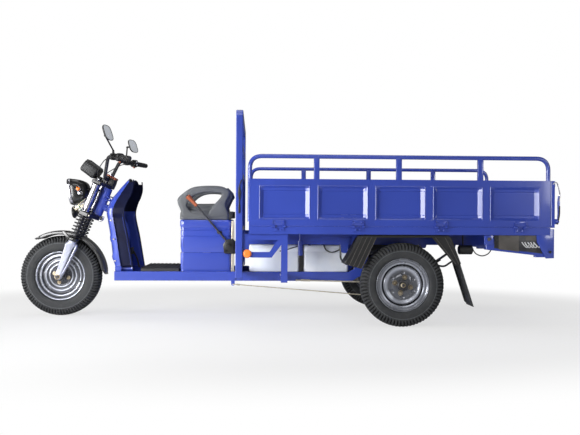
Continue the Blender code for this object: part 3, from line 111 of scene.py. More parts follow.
def turned(profile, steps=48, closed=False):
    # profile of (radius, height) carried round the z axis
    profile = np.array(profile, float)
    angle = evenAngles(steps)
    points = np.stack([
        profile[:, :1] * np.cos(angle), profile[:, :1] * np.sin(angle),
        np.repeat(profile[:, 1:], steps, 1),
    ], -1)
    open_ = not closed
    return grid(points, closed, True, open_ and profile[0, 0] > 1e-6, open_ and profile[-1, 0] > 1e-6)


def softened(line, times=2, closed=True):
    # every corner is cut at a quarter of each side, again and again
    line = np.array(line, float)
    for _ in range(times):
        after = np.roll(line, -1, 0)
        cut = np.stack([0.75 * line + 0.25 * after, 0.25 * line + 0.75 * after], 1).reshape(-1, line.shape[1])
        line = cut if closed else np.concatenate([line[:1], cut[1:-3], line[-1:]])
    return line


def ringShape(profile, steps):
    # a soft-edged ring
    return turned(softened(profile, 1), steps, True)


def domed(profile, steps):
    # a soft-edged disc or button
    return turned(softened(profile, 1, False), steps)


def tube(path, radius, steps=16, flat=1.0, closed=False):
    # a circle, flattened by flat, carried along the path square to it
    path = np.array(path, float)
    way = np.roll(path, -1, 0) - np.roll(path, 1, 0) if closed else np.gradient(path, axis=0)
    way = unit(way)
    reference = np.eye(3)[np.argmin(np.abs(way).max(0))]
    across = unit(np.cross(way, reference))
    up = np.cross(across, way)
    angle = evenAngles(steps)
    radius = np.broadcast_to(np.array(radius, float), (len(path),))[:, None, None]
    ring = (
        across[:, None] * np.cos(angle)[None, :, None]
        + up[:, None] * (flat * np.sin(angle))[None, :, None]
    )
    return grid(path[:, None] + radius * ring, closed, True, not closed, not closed)


def softBox(low, high, radius=0.003, steps=3):
    # a ball cut at its three middle planes, its eight pieces moved out to the box's corners
    low, high = np.array(low, float), np.array(high, float)
    middle, half = (low + high) / 2, np.abs(high - low) / 2
    radius = min(radius, *(half * 0.999))
    quarter = np.linspace(0, np.pi / 2, steps + 1)
    round_ = np.concatenate([quarter + k * np.pi / 2 for k in range(4)])
    signs = np.repeat([[1, 1], [-1, 1], [-1, -1], [1, -1]], steps + 1, 0)
    rise = np.concatenate([quarter - np.pi / 2, quarter])
    lift = np.repeat([-1, 1], steps + 1)
    ball = np.stack([
        np.cos(rise)[:, None] * np.cos(round_), np.cos(rise)[:, None] * np.sin(round_),
        np.repeat(np.sin(rise)[:, None], len(round_), 1),
    ], -1)
    corner = np.stack([
        np.broadcast_to(signs[:, 0], ball.shape[:2]), np.broadcast_to(signs[:, 1], ball.shape[:2]),
        np.broadcast_to(lift[:, None], ball.shape[:2]),
    ], -1)
    return grid(middle + radius * ball + (half - radius) * corner, False, True, True, True)


def walled(outline, heights, insets, plane="xz"):
    # an outline carried through the heights, drawn in from its edge by the inset of each
    outline = np.array(outline, float)
    if np.sum(outline[:, 0] * np.roll(outline[:, 1], -1) - np.roll(outline[:, 0], -1) * outline[:, 1]) < 0:
        outline = outline[::-1]
    before, after = unit(outline - np.roll(outline, 1, 0)), unit(np.roll(outline, -1, 0) - outline)
    normal = np.stack([before[:, 1] + after[:, 1], -before[:, 0] - after[:, 0]], 1)
    normal = normal / np.maximum(1 + np.sum(before * after, 1, keepdims=True), 0.35)
    flat = outline[None] - normal[None] * np.array(insets, float)[:, None, None]
    level = np.broadcast_to(np.array(heights, float)[:, None], flat.shape[:2])
    order = {"xz": (0, 2, 1), "xy": (0, 1, 2), "yz": (2, 0, 1)}[plane]
    stacked = np.stack([flat[..., 0], flat[..., 1], level], -1)
    return grid(stacked[..., list(order)], False, True, True, True)


def slab(outline, low, high, edge=0.0015, plane="xz"):
    # an outline with a quarter circle at the edge of each face
    low, high = min(low, high), max(low, high)
    turn = np.linspace(0, np.pi / 2, 3)
    insets = edge * np.concatenate([1 - np.sin(turn), (1 - np.sin(turn))[::-1]])
    heights = np.concatenate([low + edge * (1 - np.cos(turn)), high - edge * (1 - np.cos(turn))[::-1]])
    return walled(outline, heights, insets, plane)


def rounded(low, high, radius, steps=6):
    # the outline of a rectangle with round corners
    (x0, y0), (x1, y1) = low, high
    turn = np.linspace(0, np.pi / 2, steps)
    corners = (
        (x1 - radius, y0 + radius, -1), (x1 - radius, y1 - radius, 0), (x0 + radius, y1 - radius, 1),
        (x0 + radius, y0 + radius, 2),
    )
    return np.concatenate([
        np.stack([cx + radius * np.cos(turn + q * np.pi / 2), cy + radius * np.sin(turn + q * np.pi / 2)], 1)
        for cx, cy, q in corners
    ])


def bent(points, radius=0.02, steps=6):
    # a line with an arc at each of its corners
    points = [np.array(p, float) for p in points]
    line = [points[0]]
    for before, corner, after in zip(points, points[1:], points[2:]):
        a, b = before - corner, after - corner
        reach = min(radius, 0.48 * np.linalg.norm(a), 0.48 * np.linalg.norm(b))
        start, end = corner + unit(a) * reach, corner + unit(b) * reach
        share = np.linspace(0, 1, steps + 1)[:, None]
        line += list((1 - share) ** 2 * start + 2 * share * (1 - share) * corner + share ** 2 * end)
    line.append(points[-1])
    return np.array(line)


def smoothLine(points, steps=8):
    # a curve through all the points, each stretch a cubic between its neighbours' slopes
    p = np.array(points, float)
    p = np.concatenate([2 * p[:1] - p[1:2], p, 2 * p[-1:] - p[-2:-1]])
    t = np.linspace(0, 1, steps, endpoint=False)[None, :, None]
    a, b, c, d = (p[k:len(p) - 3 + k, None] for k in range(4))
    line = 0.5 * (2 * b + (c - a) * t + (2 * a - 5 * b + 4 * c - d) * t ** 2 + (3 * b - a - 3 * c + d) * t ** 3)
    return np.concatenate([line.reshape(-1, p.shape[1]), p[-2:-1]])


def bentTube(points, corner, radius, steps=16, flat=1.0):
    # a bar bent with the corner's radius at each of its inner points
    return tube(bent(points, corner), radius, steps, flat)


def cable(points, radius, steps=10, flat=1.0):
    # a soft cord that passes through all its points
    return tube(smoothLine(points), radius, steps, flat)


def evenly(points, count):
    # the same line with its points at equal steps
    points = np.array(points, float)
    run = np.concatenate([[0], np.cumsum(np.linalg.norm(np.diff(points, axis=0), axis=1))])
    at = np.linspace(0, run[-1], count)
    return np.stack([np.interp(at, run, points[:, k]) for k in range(points.shape[1])], 1)


def hexHead(at, way, across, height, washer=True):
    # six flats under a domed top, on a round washer
    angle = evenAngles(6)
    radius = across / math.sqrt(3)
    rings = [(radius, 0), (radius, height * 0.8), (radius * 0.82, height), (0, height)]
    points = np.stack([
        np.array([[r * np.cos(a), r * np.sin(a), h] for a in angle]) for r, h in rings
    ])
    made = [grid(points, False, True, True)]
    if washer:
        made.append(turned([(0, -0.0004), (across * 0.92, -0.0004), (across * 0.92, 0.0014), (0, 0.0014)], 20))
    return moved(joined(made), at, facing(way))


def roundHead(at, way, radius, height):
    # a domed rivet or screw head
    t = np.linspace(0, np.pi / 2, 5)
    profile = [(0, 0)] + list(zip(radius * np.cos(t), height * np.sin(t)))
    profile[-1] = (0, height)
    return moved(turned(profile, 16), at, facing(way))


def rodShape(start, end, radius, steps=20, edge=0.0008):
    # a round bar with its two ends slightly rounded
    start, end = np.array(start, float), np.array(end, float)
    length = np.linalg.norm(end - start)
    profile = [
        (0, 0), (radius - edge, 0), (radius, edge), (radius, length - edge), (radius - edge, length), (0, length),
    ]
    return moved(turned(profile, steps), start, facing(end - start))


def onSide(shape, side):
    # one shape or a list, drawn on the left, where y is below 0; the right gets the mirror image
    if isinstance(shape, list):
        return [onSide(one, side) for one in shape]
    return shape if side < 0 else (shape[0] * np.array((1, -1, 1)), [face[::-1] for face in shape[1]])


def ringSpots(at, radius, count, first=0, y=0.0):
    # even places on a circle that faces sideways, moved by y; the first is turned by so many degrees
    angles = np.radians(first + 360 / count * np.arange(count))
    return [np.array(at) + (radius * math.cos(a), y, radius * math.sin(a)) for a in angles]


def leaned(angle):
    # axes turned about y, so that z leans towards x
    c, s = math.cos(angle), math.sin(angle)
    return np.array([[c, 0, s], [0, 1, 0], [-s, 0, c]])


def squared(wave, power):
    # a sine or cosine pushed out from a circle towards a square
    return np.sign(wave) * np.abs(wave) ** power


def smoothStep(x, low, high):
    t = np.clip((x - low) / (high - low), 0, 1)
    return t * t * (3 - 2 * t)


def piece(name, shapes, look, body, replaces=(), soften=40, thick=0.0, offset=0.0, closed=True, pick=None):
    # one object from its shapes: doubles merged, faces outwards, sheets thickened
    # look is the name of a finish, or a list of two that pick deals out to the faces by their centres
    looks = look if isinstance(look, list) else [look]
    points, faces = joined(shapes if isinstance(shapes, list) else [shapes])
    mesh = bpy.data.meshes.new(name)
    mesh.from_pydata(points.tolist(), [], faces)
    work = bmesh.new()
    work.from_mesh(mesh)
    bmesh.ops.remove_doubles(work, verts=work.verts, dist=1e-6)
    bmesh.ops.dissolve_degenerate(work, edges=work.edges, dist=1e-7)
    if closed:
        bmesh.ops.recalc_face_normals(work, faces=work.faces)
    work.to_mesh(mesh)
    work.free()
    mesh.polygons.foreach_set("use_smooth", np.ones(len(mesh.polygons), bool))
    mesh.set_sharp_from_angle(angle=math.radians(soften))
    obj = bpy.data.objects.new(name, mesh)
    bpy.context.scene.collection.objects.link(obj)
    for one in looks:
        mesh.materials.append(finishes[one])
    if pick:
        centres = np.array([face.center for face in mesh.polygons])
        mesh.polygons.foreach_set("material_index", pick(centres).astype(np.int32))
    if thick:
        modifier = obj.modifiers.new("Thickness", "SOLIDIFY")
        modifier.thickness, modifier.offset, modifier.use_even_offset = thick, offset, True
    if body:
        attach(obj, body)
    if replaces:
        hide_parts(*replaces)
    return obj


# Finishes


class Wire:
    # a socket with arithmetic: every operator adds its Math node
    def __init__(self, tree, socket):
        self.tree, self.socket = tree, socket

    def node(self, kind, settings=None, out=0, **values):
        made = self.tree.nodes.new(kind)
        for key, value in (settings or {}).items():
            if key == "stops":
                ramp = made.color_ramp
                for k, (place, colour) in enumerate(value):
                    stop = ramp.elements[k] if k < 2 else ramp.elements.new(place)
                    stop.position, stop.color = place, (*colour, 1.0)
            else:
                setattr(made, key, value)
        for key, value in values.items():
            socket = made.inputs[int(key[1:])] if key[0] == "i" and key[1:].isdigit() else made.inputs[
                key.replace("_", " ")
            ]
            if isinstance(value, Wire):
                self.tree.links.new(value.socket, socket)
            elif hasattr(value, "__len__") and socket.type == "RGBA" and len(value) == 3:
                socket.default_value = (*value, 1.0)
            else:
                socket.default_value = value
        return Wire(self.tree, made.outputs[out])

    def maths(self, operation, a, b=0.5, c=0.5):
        return self.node("ShaderNodeMath", {"operation": operation}, i0=a, i1=b, i2=c)

    def __add__(self, other):
        return self.maths("ADD", self, other)

    __radd__ = __add__

    def __sub__(self, other):
        return self.maths("SUBTRACT", self, other)

    def __rsub__(self, other):
        return self.maths("SUBTRACT", other, self)

    def __mul__(self, other):
        return self.maths("MULTIPLY", self, other)

    __rmul__ = __mul__

    def __truediv__(self, other):
        return self.maths("DIVIDE", self, other)

    def __rtruediv__(self, other):
        return self.maths("DIVIDE", other, self)

    def __pow__(self, other):
        return self.maths("POWER", self, other)

    def between(self, low, high):
        # 0 below low, 1 above high, smooth between
        return self.node(
            "ShaderNodeMapRange", {"interpolation_type": "SMOOTHSTEP"},
            i0=self, i1=low, i2=high, i3=0.0, i4=1.0,
        )


class Finish:
    # one material: object coordinates, noises, colour mixes, bump, and the shader they feed
    def __init__(self, name, **constants):
        self.material = bpy.data.materials.new(name)
        self.material.use_nodes = True
        self.tree = self.material.node_tree
        self.shader = self.tree.nodes["Principled BSDF"]
        for key, value in constants.items():
            socket = self.shader.inputs[key.replace("_", " ")]
            socket.default_value = (*value, 1.0) if hasattr(value, "__len__") and len(value) == 3 else value
        start = Wire(self.tree, None)
        self.node, self.maths = start.node, start.maths
        self.places = self.node("ShaderNodeTexCoord", out=3)

    def noise(self, scale, detail=3.0, rough=0.5, stretch=None):
        where = self.places
        if stretch:
            where = self.node("ShaderNodeMapping", Vector=where, Scale=stretch)
        return self.node("ShaderNodeTexNoise", Vector=where, Scale=scale, Detail=detail, Roughness=rough)

    def cells(self, scale):
        return self.node("ShaderNodeTexVoronoi", Vector=self.places, Scale=scale)

    def axis(self, k):
        return self.node("ShaderNodeSeparateXYZ", out=k, Vector=self.places)

    def faces(self, k):
        # how far a surface faces along x, y or z
        normal = self.node("ShaderNodeNewGeometry", out=1)
        return self.node("ShaderNodeSeparateXYZ", out=k, Vector=normal)

    def mix(self, share, a, b):
        return self.node("ShaderNodeMix", {"data_type": "RGBA"}, out=2, i0=share, i6=a, i7=b)

    def feed(self, socket, value):
        self.tree.links.new(value.socket, self.shader.inputs[socket])
        return self

    def relief(self, height, strength, distance):
        bump = self.node("ShaderNodeBump", Height=height, Strength=strength, Distance=distance)
        return self.feed("Normal", bump)


def paint(name, light, deep, roughness, metallic, coat, peel, dust):
    # gloss paint over sheet steel: slow drifts of tone, orange peel, a little dust on what faces up
    f = Finish(name, Metallic=metallic, Coat_Weight=coat, Coat_Roughness=0.07, Roughness=roughness)
    drift = f.noise(2.4, 2.0).between(0.3, 0.7)
    speck = f.noise(900.0, 1.0)
    grime = f.noise(11.0, 6.0, 0.62).between(0.5, 0.78) * f.faces(2).between(0.2, 1.0) * dust
    colour = f.mix(drift, deep, light)
    f.feed("Base Color", f.mix(grime, colour, (0.3, 0.29, 0.27)))
    f.feed("Roughness", roughness + 0.01 * speck + 0.25 * grime)
    f.relief(f.noise(310.0, 2.0) + 0.25 * speck, peel, 0.0006)
    return f.material


def moulded(name, light, deep, roughness=0.5, grain=700.0, depth=0.12, coat=0.0, scuff=0.3, gleam=0.5):
    # moulded plastic or rubber: a fine pebble grain, slow drifts and pale scuffs
    f = Finish(name, Coat_Weight=coat, Coat_Roughness=0.15, Specular_IOR_Level=gleam)
    drift = f.noise(7.0, 3.0).between(0.3, 0.72)
    pebble = f.cells(grain)
    scuffed = f.noise(38.0, 7.0, 0.7, (1, 1, 2.5)).between(0.6, 0.78) * scuff
    pale = tuple(min(1.0, c * 2.2 + 0.02) for c in light)
    f.feed("Base Color", f.mix(scuffed, f.mix(drift, deep, light), pale))
    f.feed("Roughness", roughness + 0.14 * scuffed + 0.08 * pebble)
    f.relief(pebble + 0.4 * f.noise(grain * 0.4, 3.0), depth, 0.0006)
    return f.material


def metal(
        name, light, deep, roughness=0.25, metallic=1.0, grain=220.0, depth=0.05, tarnish=0.35,
        tarnishColour=(0.2, 0.17, 0.13),
):
    # bare or plated metal: a drawn grain, smudges, and tarnish in patches
    f = Finish(name)
    smudge = f.noise(17.0, 5.0, 0.6).between(0.35, 0.75)
    drawn = f.noise(grain, 3.0, 0.6)
    spots = f.noise(64.0, 8.0, 0.72).between(0.6, 0.74) * tarnish
    f.feed("Base Color", f.mix(spots, f.mix(smudge, deep, light), tarnishColour))
    f.feed("Metallic", metallic - 0.6 * spots)
    f.feed("Roughness", roughness + 0.12 * smudge + 0.3 * spots)
    f.relief(drawn, depth, 0.0004)
    return f.material


def tyreLook(name, centre, radius, width, lugs):
    # tread rubber: rings round the wall, dust, and painted shade, near black, in the gaps between the lugs, placed by
    # the shape's own saw
    f = Finish(name, Specular_IOR_Level=0.35)
    x, y, z = (f.axis(k) - centre[k] for k in range(3))
    reach, wide = (x * x + z * z) ** 0.5, f.maths("ABSOLUTE", y) / (width / 2)
    phase = f.maths("ARCTAN2", z, x) * (lugs / (2 * math.pi)) + 0.25 * f.maths("SIGN", y) + 0.9 * wide
    saw = f.maths("ABSOLUTE", f.maths("FRACT", phase) - 0.5) * 2
    # painted shade: the mask covers the grooves between the lugs
    grooveShade = saw.between(0.42, 0.6) * wide.between(0.26, 0.34) * reach.between(radius - 0.045, radius - 0.034)
    rings = f.maths("SINE", reach * 900.0) * 0.5 + 0.5
    wall = 1.0 - reach.between(radius - 0.045, radius - 0.036)
    dust = f.noise(14.0, 6.0, 0.65).between(0.42, 0.75)
    base = f.mix(dust * 0.45, (0.036, 0.038, 0.041), (0.09, 0.09, 0.088))
    band = wall * (1.0 - f.maths("ABSOLUTE", reach - (radius - 0.05)).between(0.0012, 0.003))
    base = f.mix(band * 0.5, base, (0.14, 0.15, 0.16))
    # the groove mask darkens the rubber to near black as painted shade
    f.feed("Base Color", f.mix(grooveShade * 0.9, base, (0.006, 0.006, 0.007)))
    f.feed("Roughness", 0.6 + 0.22 * dust)
    f.relief(rings * wall * 0.5 + f.noise(520.0, 3.0) * 0.6 + f.cells(240.0) * 0.3, 0.22, 0.0007)
    return f.material


def rimLook(name, centre, ringLightAndShade):
    # pressed wheel: silver with painted highlights on the ridges and painted shade down in the rings, set by the
    # distance from the hub
    f = Finish(name, Metallic=0.55, Coat_Weight=0.45, Coat_Roughness=0.07)
    x, z = f.axis(0) - centre[0], f.axis(2) - centre[2]
    reach = (x * x + z * z) ** 0.5
    # painted light and shade: each distance from the hub gets a pale ridge tone or a dark ring tone
    stops = [(r / 0.17, (tone, tone * 1.05, tone * 1.2)) for r, tone in ringLightAndShade]
    ring = f.node("ShaderNodeValToRGB", {"stops": stops}, i0=reach / 0.17)
    smudge = f.noise(9.0, 5.0, 0.6).between(0.45, 0.8)
    f.feed("Base Color", f.mix(smudge * 0.3, ring, (0.17, 0.17, 0.18)))
    f.feed("Roughness", 0.22 + 0.16 * smudge)
    f.relief(f.noise(310.0, 2.0), 0.05, 0.0006)
    return f.material


def glassLook(name, tint, roughness, weight, ribs=0.0):
    # clear or tinted, a little hazy, with upright ribs moulded in
    f = Finish(name, Transmission_Weight=weight, IOR=1.45, Coat_Weight=0.3)
    haze = f.noise(90.0, 5.0).between(0.5, 0.9)
    f.feed("Base Color", f.mix(haze * 0.2, tint, tuple(c * 0.8 for c in tint)))
    f.feed("Roughness", roughness + 0.05 * haze)
    if ribs:
        f.relief(f.maths("SINE", f.axis(1) * ribs), 0.35, 0.0008)
    return f.material


def prismLook(name, colour, paintedGlow):
    # a moulded reflector: small prisms behind a clear face, with a painted glow though no lamp lights it
    f = Finish(name, Coat_Weight=1.0, Coat_Roughness=0.04, Roughness=0.25)
    prisms = f.cells(330.0)
    f.feed("Base Color", f.mix(prisms.between(0.0, 0.9), colour, tuple(min(1.0, c * 1.25 + 0.03) for c in colour)))
    # painted glow: the lens shines faintly with no lamp behind it
    f.shader.inputs["Emission Strength"].default_value = paintedGlow
    f.feed("Emission Color", f.mix(prisms.between(0.1, 0.9), colour, tuple(c * 0.6 for c in colour)))
    f.relief(prisms, 0.5, 0.0012)
    return f.material


def mirrorLook(name):
    # silvered glass that always shows some sky: a painted reflection, pale sky tones in its colour and a faint glow of
    # the same
    f = Finish(name, Metallic=0.65, Emission_Strength=0.3, Emission_Color=(0.86, 0.9, 0.95))
    haze = f.noise(25.0, 4.0).between(0.4, 0.8)
    f.feed("Base Color", f.mix(haze, (0.86, 0.9, 0.95), (0.8, 0.84, 0.9)))
    f.feed("Roughness", 0.03 + 0.06 * haze)
    return f.material


finishes = {
    "blue": paint("bluePaint", (0.041, 0.079, 0.47), (0.037, 0.07, 0.42), 0.26, 0.0, 0.8, 0.05, 0.12),
    "black": paint("blackPaint", (0.014, 0.014, 0.015), (0.008, 0.008, 0.009), 0.3, 0.0, 0.6, 0.04, 0.4),
    "plastic": moulded("blackPlastic", (0.015, 0.015, 0.015), (0.009, 0.009, 0.01), 0.42, 700.0, 0.12, 0.0, 0.18),
    "greyPlastic": moulded("darkGreyPlastic", (0.038, 0.04, 0.043), (0.026, 0.027, 0.029), 0.42),
    "seat": moulded("greySeatSkin", (0.118, 0.127, 0.138), (0.095, 0.101, 0.109), 0.5, 420.0, 0.3, 0.05, 0.15),
    "rubber": moulded("blackRubber", (0.024, 0.024, 0.025), (0.014, 0.014, 0.015), 0.66, 900.0, 0.18),
    "mat": moulded("floorMatRubber", (0.04, 0.04, 0.042), (0.022, 0.022, 0.024), 0.62, 600.0, 0.25, 0.0, 0.5),
    # navy painted shade: the shield's blue darkened for its shaded inside, rear flanks and edges
    "liner": moulded("linerPaintedShade", (0.005, 0.008, 0.04), (0.003, 0.004, 0.022), 0.46, 500.0, 0.05, 0.0, 0.05, 0.12),
    "battery": moulded("batteryCase", (0.9, 0.93, 0.98), (0.8, 0.85, 0.94), 0.38, 350.0, 0.06, 0.1, 0.1),
    "orange": moulded("orangeGrip", (0.4, 0.1, 0.038), (0.3, 0.072, 0.027), 0.42, 500.0, 0.1, 0.1, 0.15),
    "rim": paint("rimSilver", (0.25, 0.285, 0.345), (0.165, 0.19, 0.245), 0.28, 0.6, 0.4, 0.05, 0.1),
    "alloy": paint("castLegPaint", (0.5, 0.52, 0.62), (0.42, 0.44, 0.54), 0.34, 0.35, 0.3, 0.22, 0.1),
    "chrome": metal("brightChrome", (0.56, 0.56, 0.6), (0.42, 0.42, 0.46), 0.14, 1.0, 90.0, 0.01, 0.12),
    "steel": metal("darkSteel", (0.1, 0.1, 0.105), (0.05, 0.05, 0.055), 0.38, 0.7, 260.0, 0.1, 0.4, (0.1, 0.07, 0.05)),
    "spring": metal(
        "springSteel", (0.03, 0.03, 0.032), (0.016, 0.016, 0.018), 0.3, 0.4, 300.0, 0.05, 0.2, (0.09, 0.06, 0.05)
    ), "zinc": metal("zincPlate", (0.8, 0.74, 0.58), (0.66, 0.6, 0.45), 0.3, 0.45, 300.0, 0.06, 0.25),
    "bolt": metal("yellowZincBolt", (0.66, 0.58, 0.42), (0.34, 0.27, 0.18), 0.28, 0.8, 300.0, 0.08, 0.5),
    "plate": metal("greyPlate", (0.15, 0.138, 0.128), (0.105, 0.098, 0.092), 0.48, 0.45, 200.0, 0.06, 0.4),
    "amber": glassLook("amberBulb", (1, 0.42, 0.04), 0.08, 0.75),
    "clear": glassLook("clearLens", (0.94, 0.97, 0.99), 0.02, 1.0, 380.0),
    "reflector": prismLook("orangeReflector", (0.92, 0.19, 0.003), 0.1),
    "red": prismLook("redLens", (0.55, 0.012, 0.01), 0.12),
    "white": moulded("whitePlastic", (0.72, 0.73, 0.74), (0.62, 0.63, 0.65), 0.35, 700.0, 0.04),
    "green": moulded("greenWire", (0.03, 0.3, 0.16), (0.02, 0.22, 0.12), 0.4, 900.0, 0.04, 0.1, 0.0),
    "screen": moulded("dialFace", (0.1, 0.12, 0.15), (0.05, 0.06, 0.08), 0.1, 900.0, 0.01, 0.9, 0.0),
    # painted reflection: the mirror glass glows a pale sky colour
    "mirror": mirrorLook("mirrorGlass"),
}
# painted highlights and shade by the distance from the hub: pale tones on the ridges, dark ones in the rings
frontRingLightAndShade = [
    (0, 0.07), (0.03, 0.06), (0.06, 0.07), (0.068, 0.12), (0.0745, 0.62), (0.081, 0.16), (0.087, 0.05), (0.092, 0.16),
    (0.0995, 0.7), (0.106, 0.2), (0.117, 0.09), (0.126, 0.12), (0.1325, 0.68), (0.138, 0.14), (0.1455, 0.045),
    (0.151, 0.16), (0.1575, 0.85), (0.163, 0.4),
]
rearRingLightAndShade = [
    (0, 0.06), (0.03, 0.04), (0.045, 0.11), (0.075, 0.14), (0.089, 0.16), (0.096, 0.4), (0.104, 0.58), (0.1115, 0.3),
    (0.1175, 0.16), (0.1215, 0.012), (0.125, 0.016), (0.1285, 0.36), (0.133, 0.52), (0.139, 0.22), (0.147, 0.25),
    (0.152, 0.32), (0.157, 0.16), (0.163, 0.36),
]
finishes["frontTyre"] = tyreLook("frontTyreRubber", wheel["frontAt"], *wheel["frontTyre"])
finishes["frontRim"] = rimLook("frontRimPaintedRings", wheel["frontAt"], frontRingLightAndShade)
for side, name in sides:
    finishes["tyre_" + name] = tyreLook(f"rearTyreRubber_{name}", rearAt[name], *wheel["rearTyre"])
finishes["rearRim"] = rimLook("rearRimPaintedRings", rearAt["left"], rearRingLightAndShade)
print("finishes made:", len(finishes))

# CAD nodes that stay get these finishes
carried = {
    "blue": [
        "frame_rail_left", "frame_rail_right", "floor_pan", "head_frame", "bed_floor", "bed_rail_left",
        "bed_rail_right", "bed_strut_left", "bed_strut_right", "front_guard", "brake_crank", "tail_bracket_left",
        "tail_bracket_right",
    ], "black": ["fork_yokes"], "plastic": ["lever_base"], "steel": ["front_axle", "rear_axle"],
}
for look, names in carried.items():
    for name in names:
        slots = nodes[name].data.materials
        slots.clear()
        slots.append(finishes[look])

# Wheels

def tyreShape(radius, width, lugs):
    # section: a squared ellipse from bead to bead; grooves pushed in along the section's own normal,
    # slanting at the shoulders and in a zigzag by the middle
    power, end = wheel["shoulder"], 2.55
    phi = np.linspace(-end, end, 57)
    sine, cosine = np.sin(phi), np.cos(phi)
    lowest = abs(math.cos(end)) ** power
    reach = (radius - wheel["rimRadius"]) / (1 + lowest)
    across = width / 2 * squared(sine, power)
    high = radius - reach + reach * squared(cosine, power)
    slopeAcross, slopeHigh = np.gradient(across), np.gradient(high)
    length = np.hypot(slopeAcross, slopeHigh)
    outAcross, outHigh = -slopeHigh / length, slopeAcross / length
    for place, size in ((0.174, 0.0016), (0.186, 0.001), (0.204, 0.0018), (0.211, -0.0014), (0.216, 0.0012)):
        ring = size * np.exp(-((high - place) / 0.0018) ** 2)
        across, high = across + outAcross * ring, high + outHigh * ring
    turn = evenAngles(lugs * 10)[None]
    side, y, r = np.sign(across)[:, None], np.abs(across)[:, None] / (width / 2), high[:, None]
    phase = turn * lugs / (2 * np.pi)
    saw = np.abs((phase + 0.25 * side + 0.9 * y) % 1.0 - 0.5) * 2
    lateral = smoothStep(saw, 0.46, 0.6) * smoothStep(y, 0.26, 0.34) * smoothStep(r, radius - 0.043, radius - 0.033)
    zigzag = 0.16 + 0.05 * (np.abs(phase % 1.0 - 0.5) * 4 - 1)
    middle = (1 - smoothStep(np.abs(y - zigzag), 0.035, 0.07)) * smoothStep(r, radius - 0.015, radius - 0.01)
    depth = wheel["grooveDepth"] * np.maximum(lateral, 0.7 * middle)
    y2 = across[:, None] - outAcross[:, None] * depth
    r2 = high[:, None] - outHigh[:, None] * depth
    points = np.stack([r2 * np.cos(turn), y2 + 0 * turn, r2 * np.sin(turn)], -1)
    inner = wheel["rimRadius"] - 0.006
    bead = width / 2 * 0.7 - 0.003
    foot = [
        np.stack([inner * np.cos(turn[0]), np.full(turn.shape[1], s * bead), inner * np.sin(turn[0])], -1)
        for s in (-1, 1)
    ]
    return grid(np.concatenate([foot[0][None], points, foot[1][None]]), True, True)


def rimShape(section, steps=120, dimples=None):
    # section of (radius, outward height) round the y axis; dimples sink ovals into the disc
    section = softened(section)
    turn = evenAngles(steps)[None]
    r, h = section[:, :1] + 0 * turn, section[:, 1:] + 0 * turn
    if dimples:
        count, circle, size, depth, low = dimples
        near = (turn * count / (2 * np.pi)) % 1.0 - 0.5
        off = np.hypot((r - circle) / size, near * 2 * np.pi * r / count / (size * 1.25))
        h = h - depth * (1 - smoothStep(off, 0.55, 1.0)) * (h > low)
    return grid(np.stack([r * np.cos(turn), -h, r * np.sin(turn)], -1), True, True)


frontFace = [
    (0.1565, 0.0385), (0.1622, 0.04), (0.1632, 0.044), (0.161, 0.047), (0.157, 0.0455), (0.154, 0.039),
    (0.149, 0.035), (0.147, 0.03), (0.143, 0.0285), (0.133, 0.031), (0.129, 0.029), (0.1235, 0.0245),
    (0.119, 0.018), (0.115, 0.017), (0.102, 0.0215), (0.097, 0.0205), (0.091, 0.013), (0.086, 0.012),
    (0.077, 0.016), (0.072, 0.0145), (0.067, 0.008), (0.06, 0.007), (0.056, 0.012), (0.042, 0.015),
    (0.0375, 0.018), (0.036, 0.034), (0.033, 0.037), (0.026, 0.0385), (0.025, 0.052), (0.022, 0.056),
    (0.016, 0.057), (0.015, 0.062), (0.0082, 0.063),
]
frontSection = frontFace + [(r, -h) for r, h in reversed(frontFace)] + [(0.153, -0.034), (0.153, 0.034)]
rearSection = [
    (0.1622, 0.038), (0.1632, 0.042), (0.161, 0.045), (0.157, 0.044), (0.154, 0.038), (0.149, 0.034),
    (0.145, 0.033), (0.14, 0.034), (0.132, 0.0325), (0.1265, 0.029), (0.1245, 0.0225), (0.122, 0.0215),
    (0.1205, 0.025), (0.1175, 0.0335), (0.113, 0.0375), (0.106, 0.037), (0.099, 0.033), (0.092, 0.03),
    (0.084, 0.029), (0.07, 0.0295), (0.062, 0.032), (0.056, 0.035), (0.04, 0.0352), (0.035, 0.036),
    (0.033, 0.04), (0.029, 0.0412), (0.011, 0.0412), (0.011, -0.044), (0.031, -0.044), (0.0322, 0.019),
    (0.06, 0.019), (0.11, 0.0195), (0.118, 0.0185), (0.1225, 0.014), (0.14, 0.006), (0.143, -0.03),
    (0.144, -0.0345), (0.153, -0.038), (0.156, -0.044), (0.161, -0.045), (0.1632, -0.042), (0.1622, -0.038),
    (0.156, -0.0365), (0.153, -0.033), (0.153, 0.033), (0.156, 0.0365),
]

piece(
    "front_tyre_tread", moved(tyreShape(*wheel["frontTyre"]), wheel["frontAt"]), "frontTyre", "front_wheel",
    ["front_tyre"], 50,
)
piece("front_rim_face", moved(rimShape(frontSection), wheel["frontAt"]), "frontRim", "front_wheel", ["front_rim"], 55)
frontBolts = [
    hexHead(spot, (0, s, 0), 0.014, 0.009)
    for s in (-1, 1) for spot in ringSpots(wheel["frontAt"], wheel["boltCircle"], 4, -17, s * 0.0152)
]
piece("front_wheel_bolts", frontBolts, "bolt", "front_wheel", soften=30)
piece(
    "front_valve",
    rodShape((-1.442 + 0.134, -0.029, 0.267 - 0.04), (-1.442 + 0.128, -0.047, 0.267 - 0.038), 0.0036, 12), "rubber",
    "front_wheel",
)

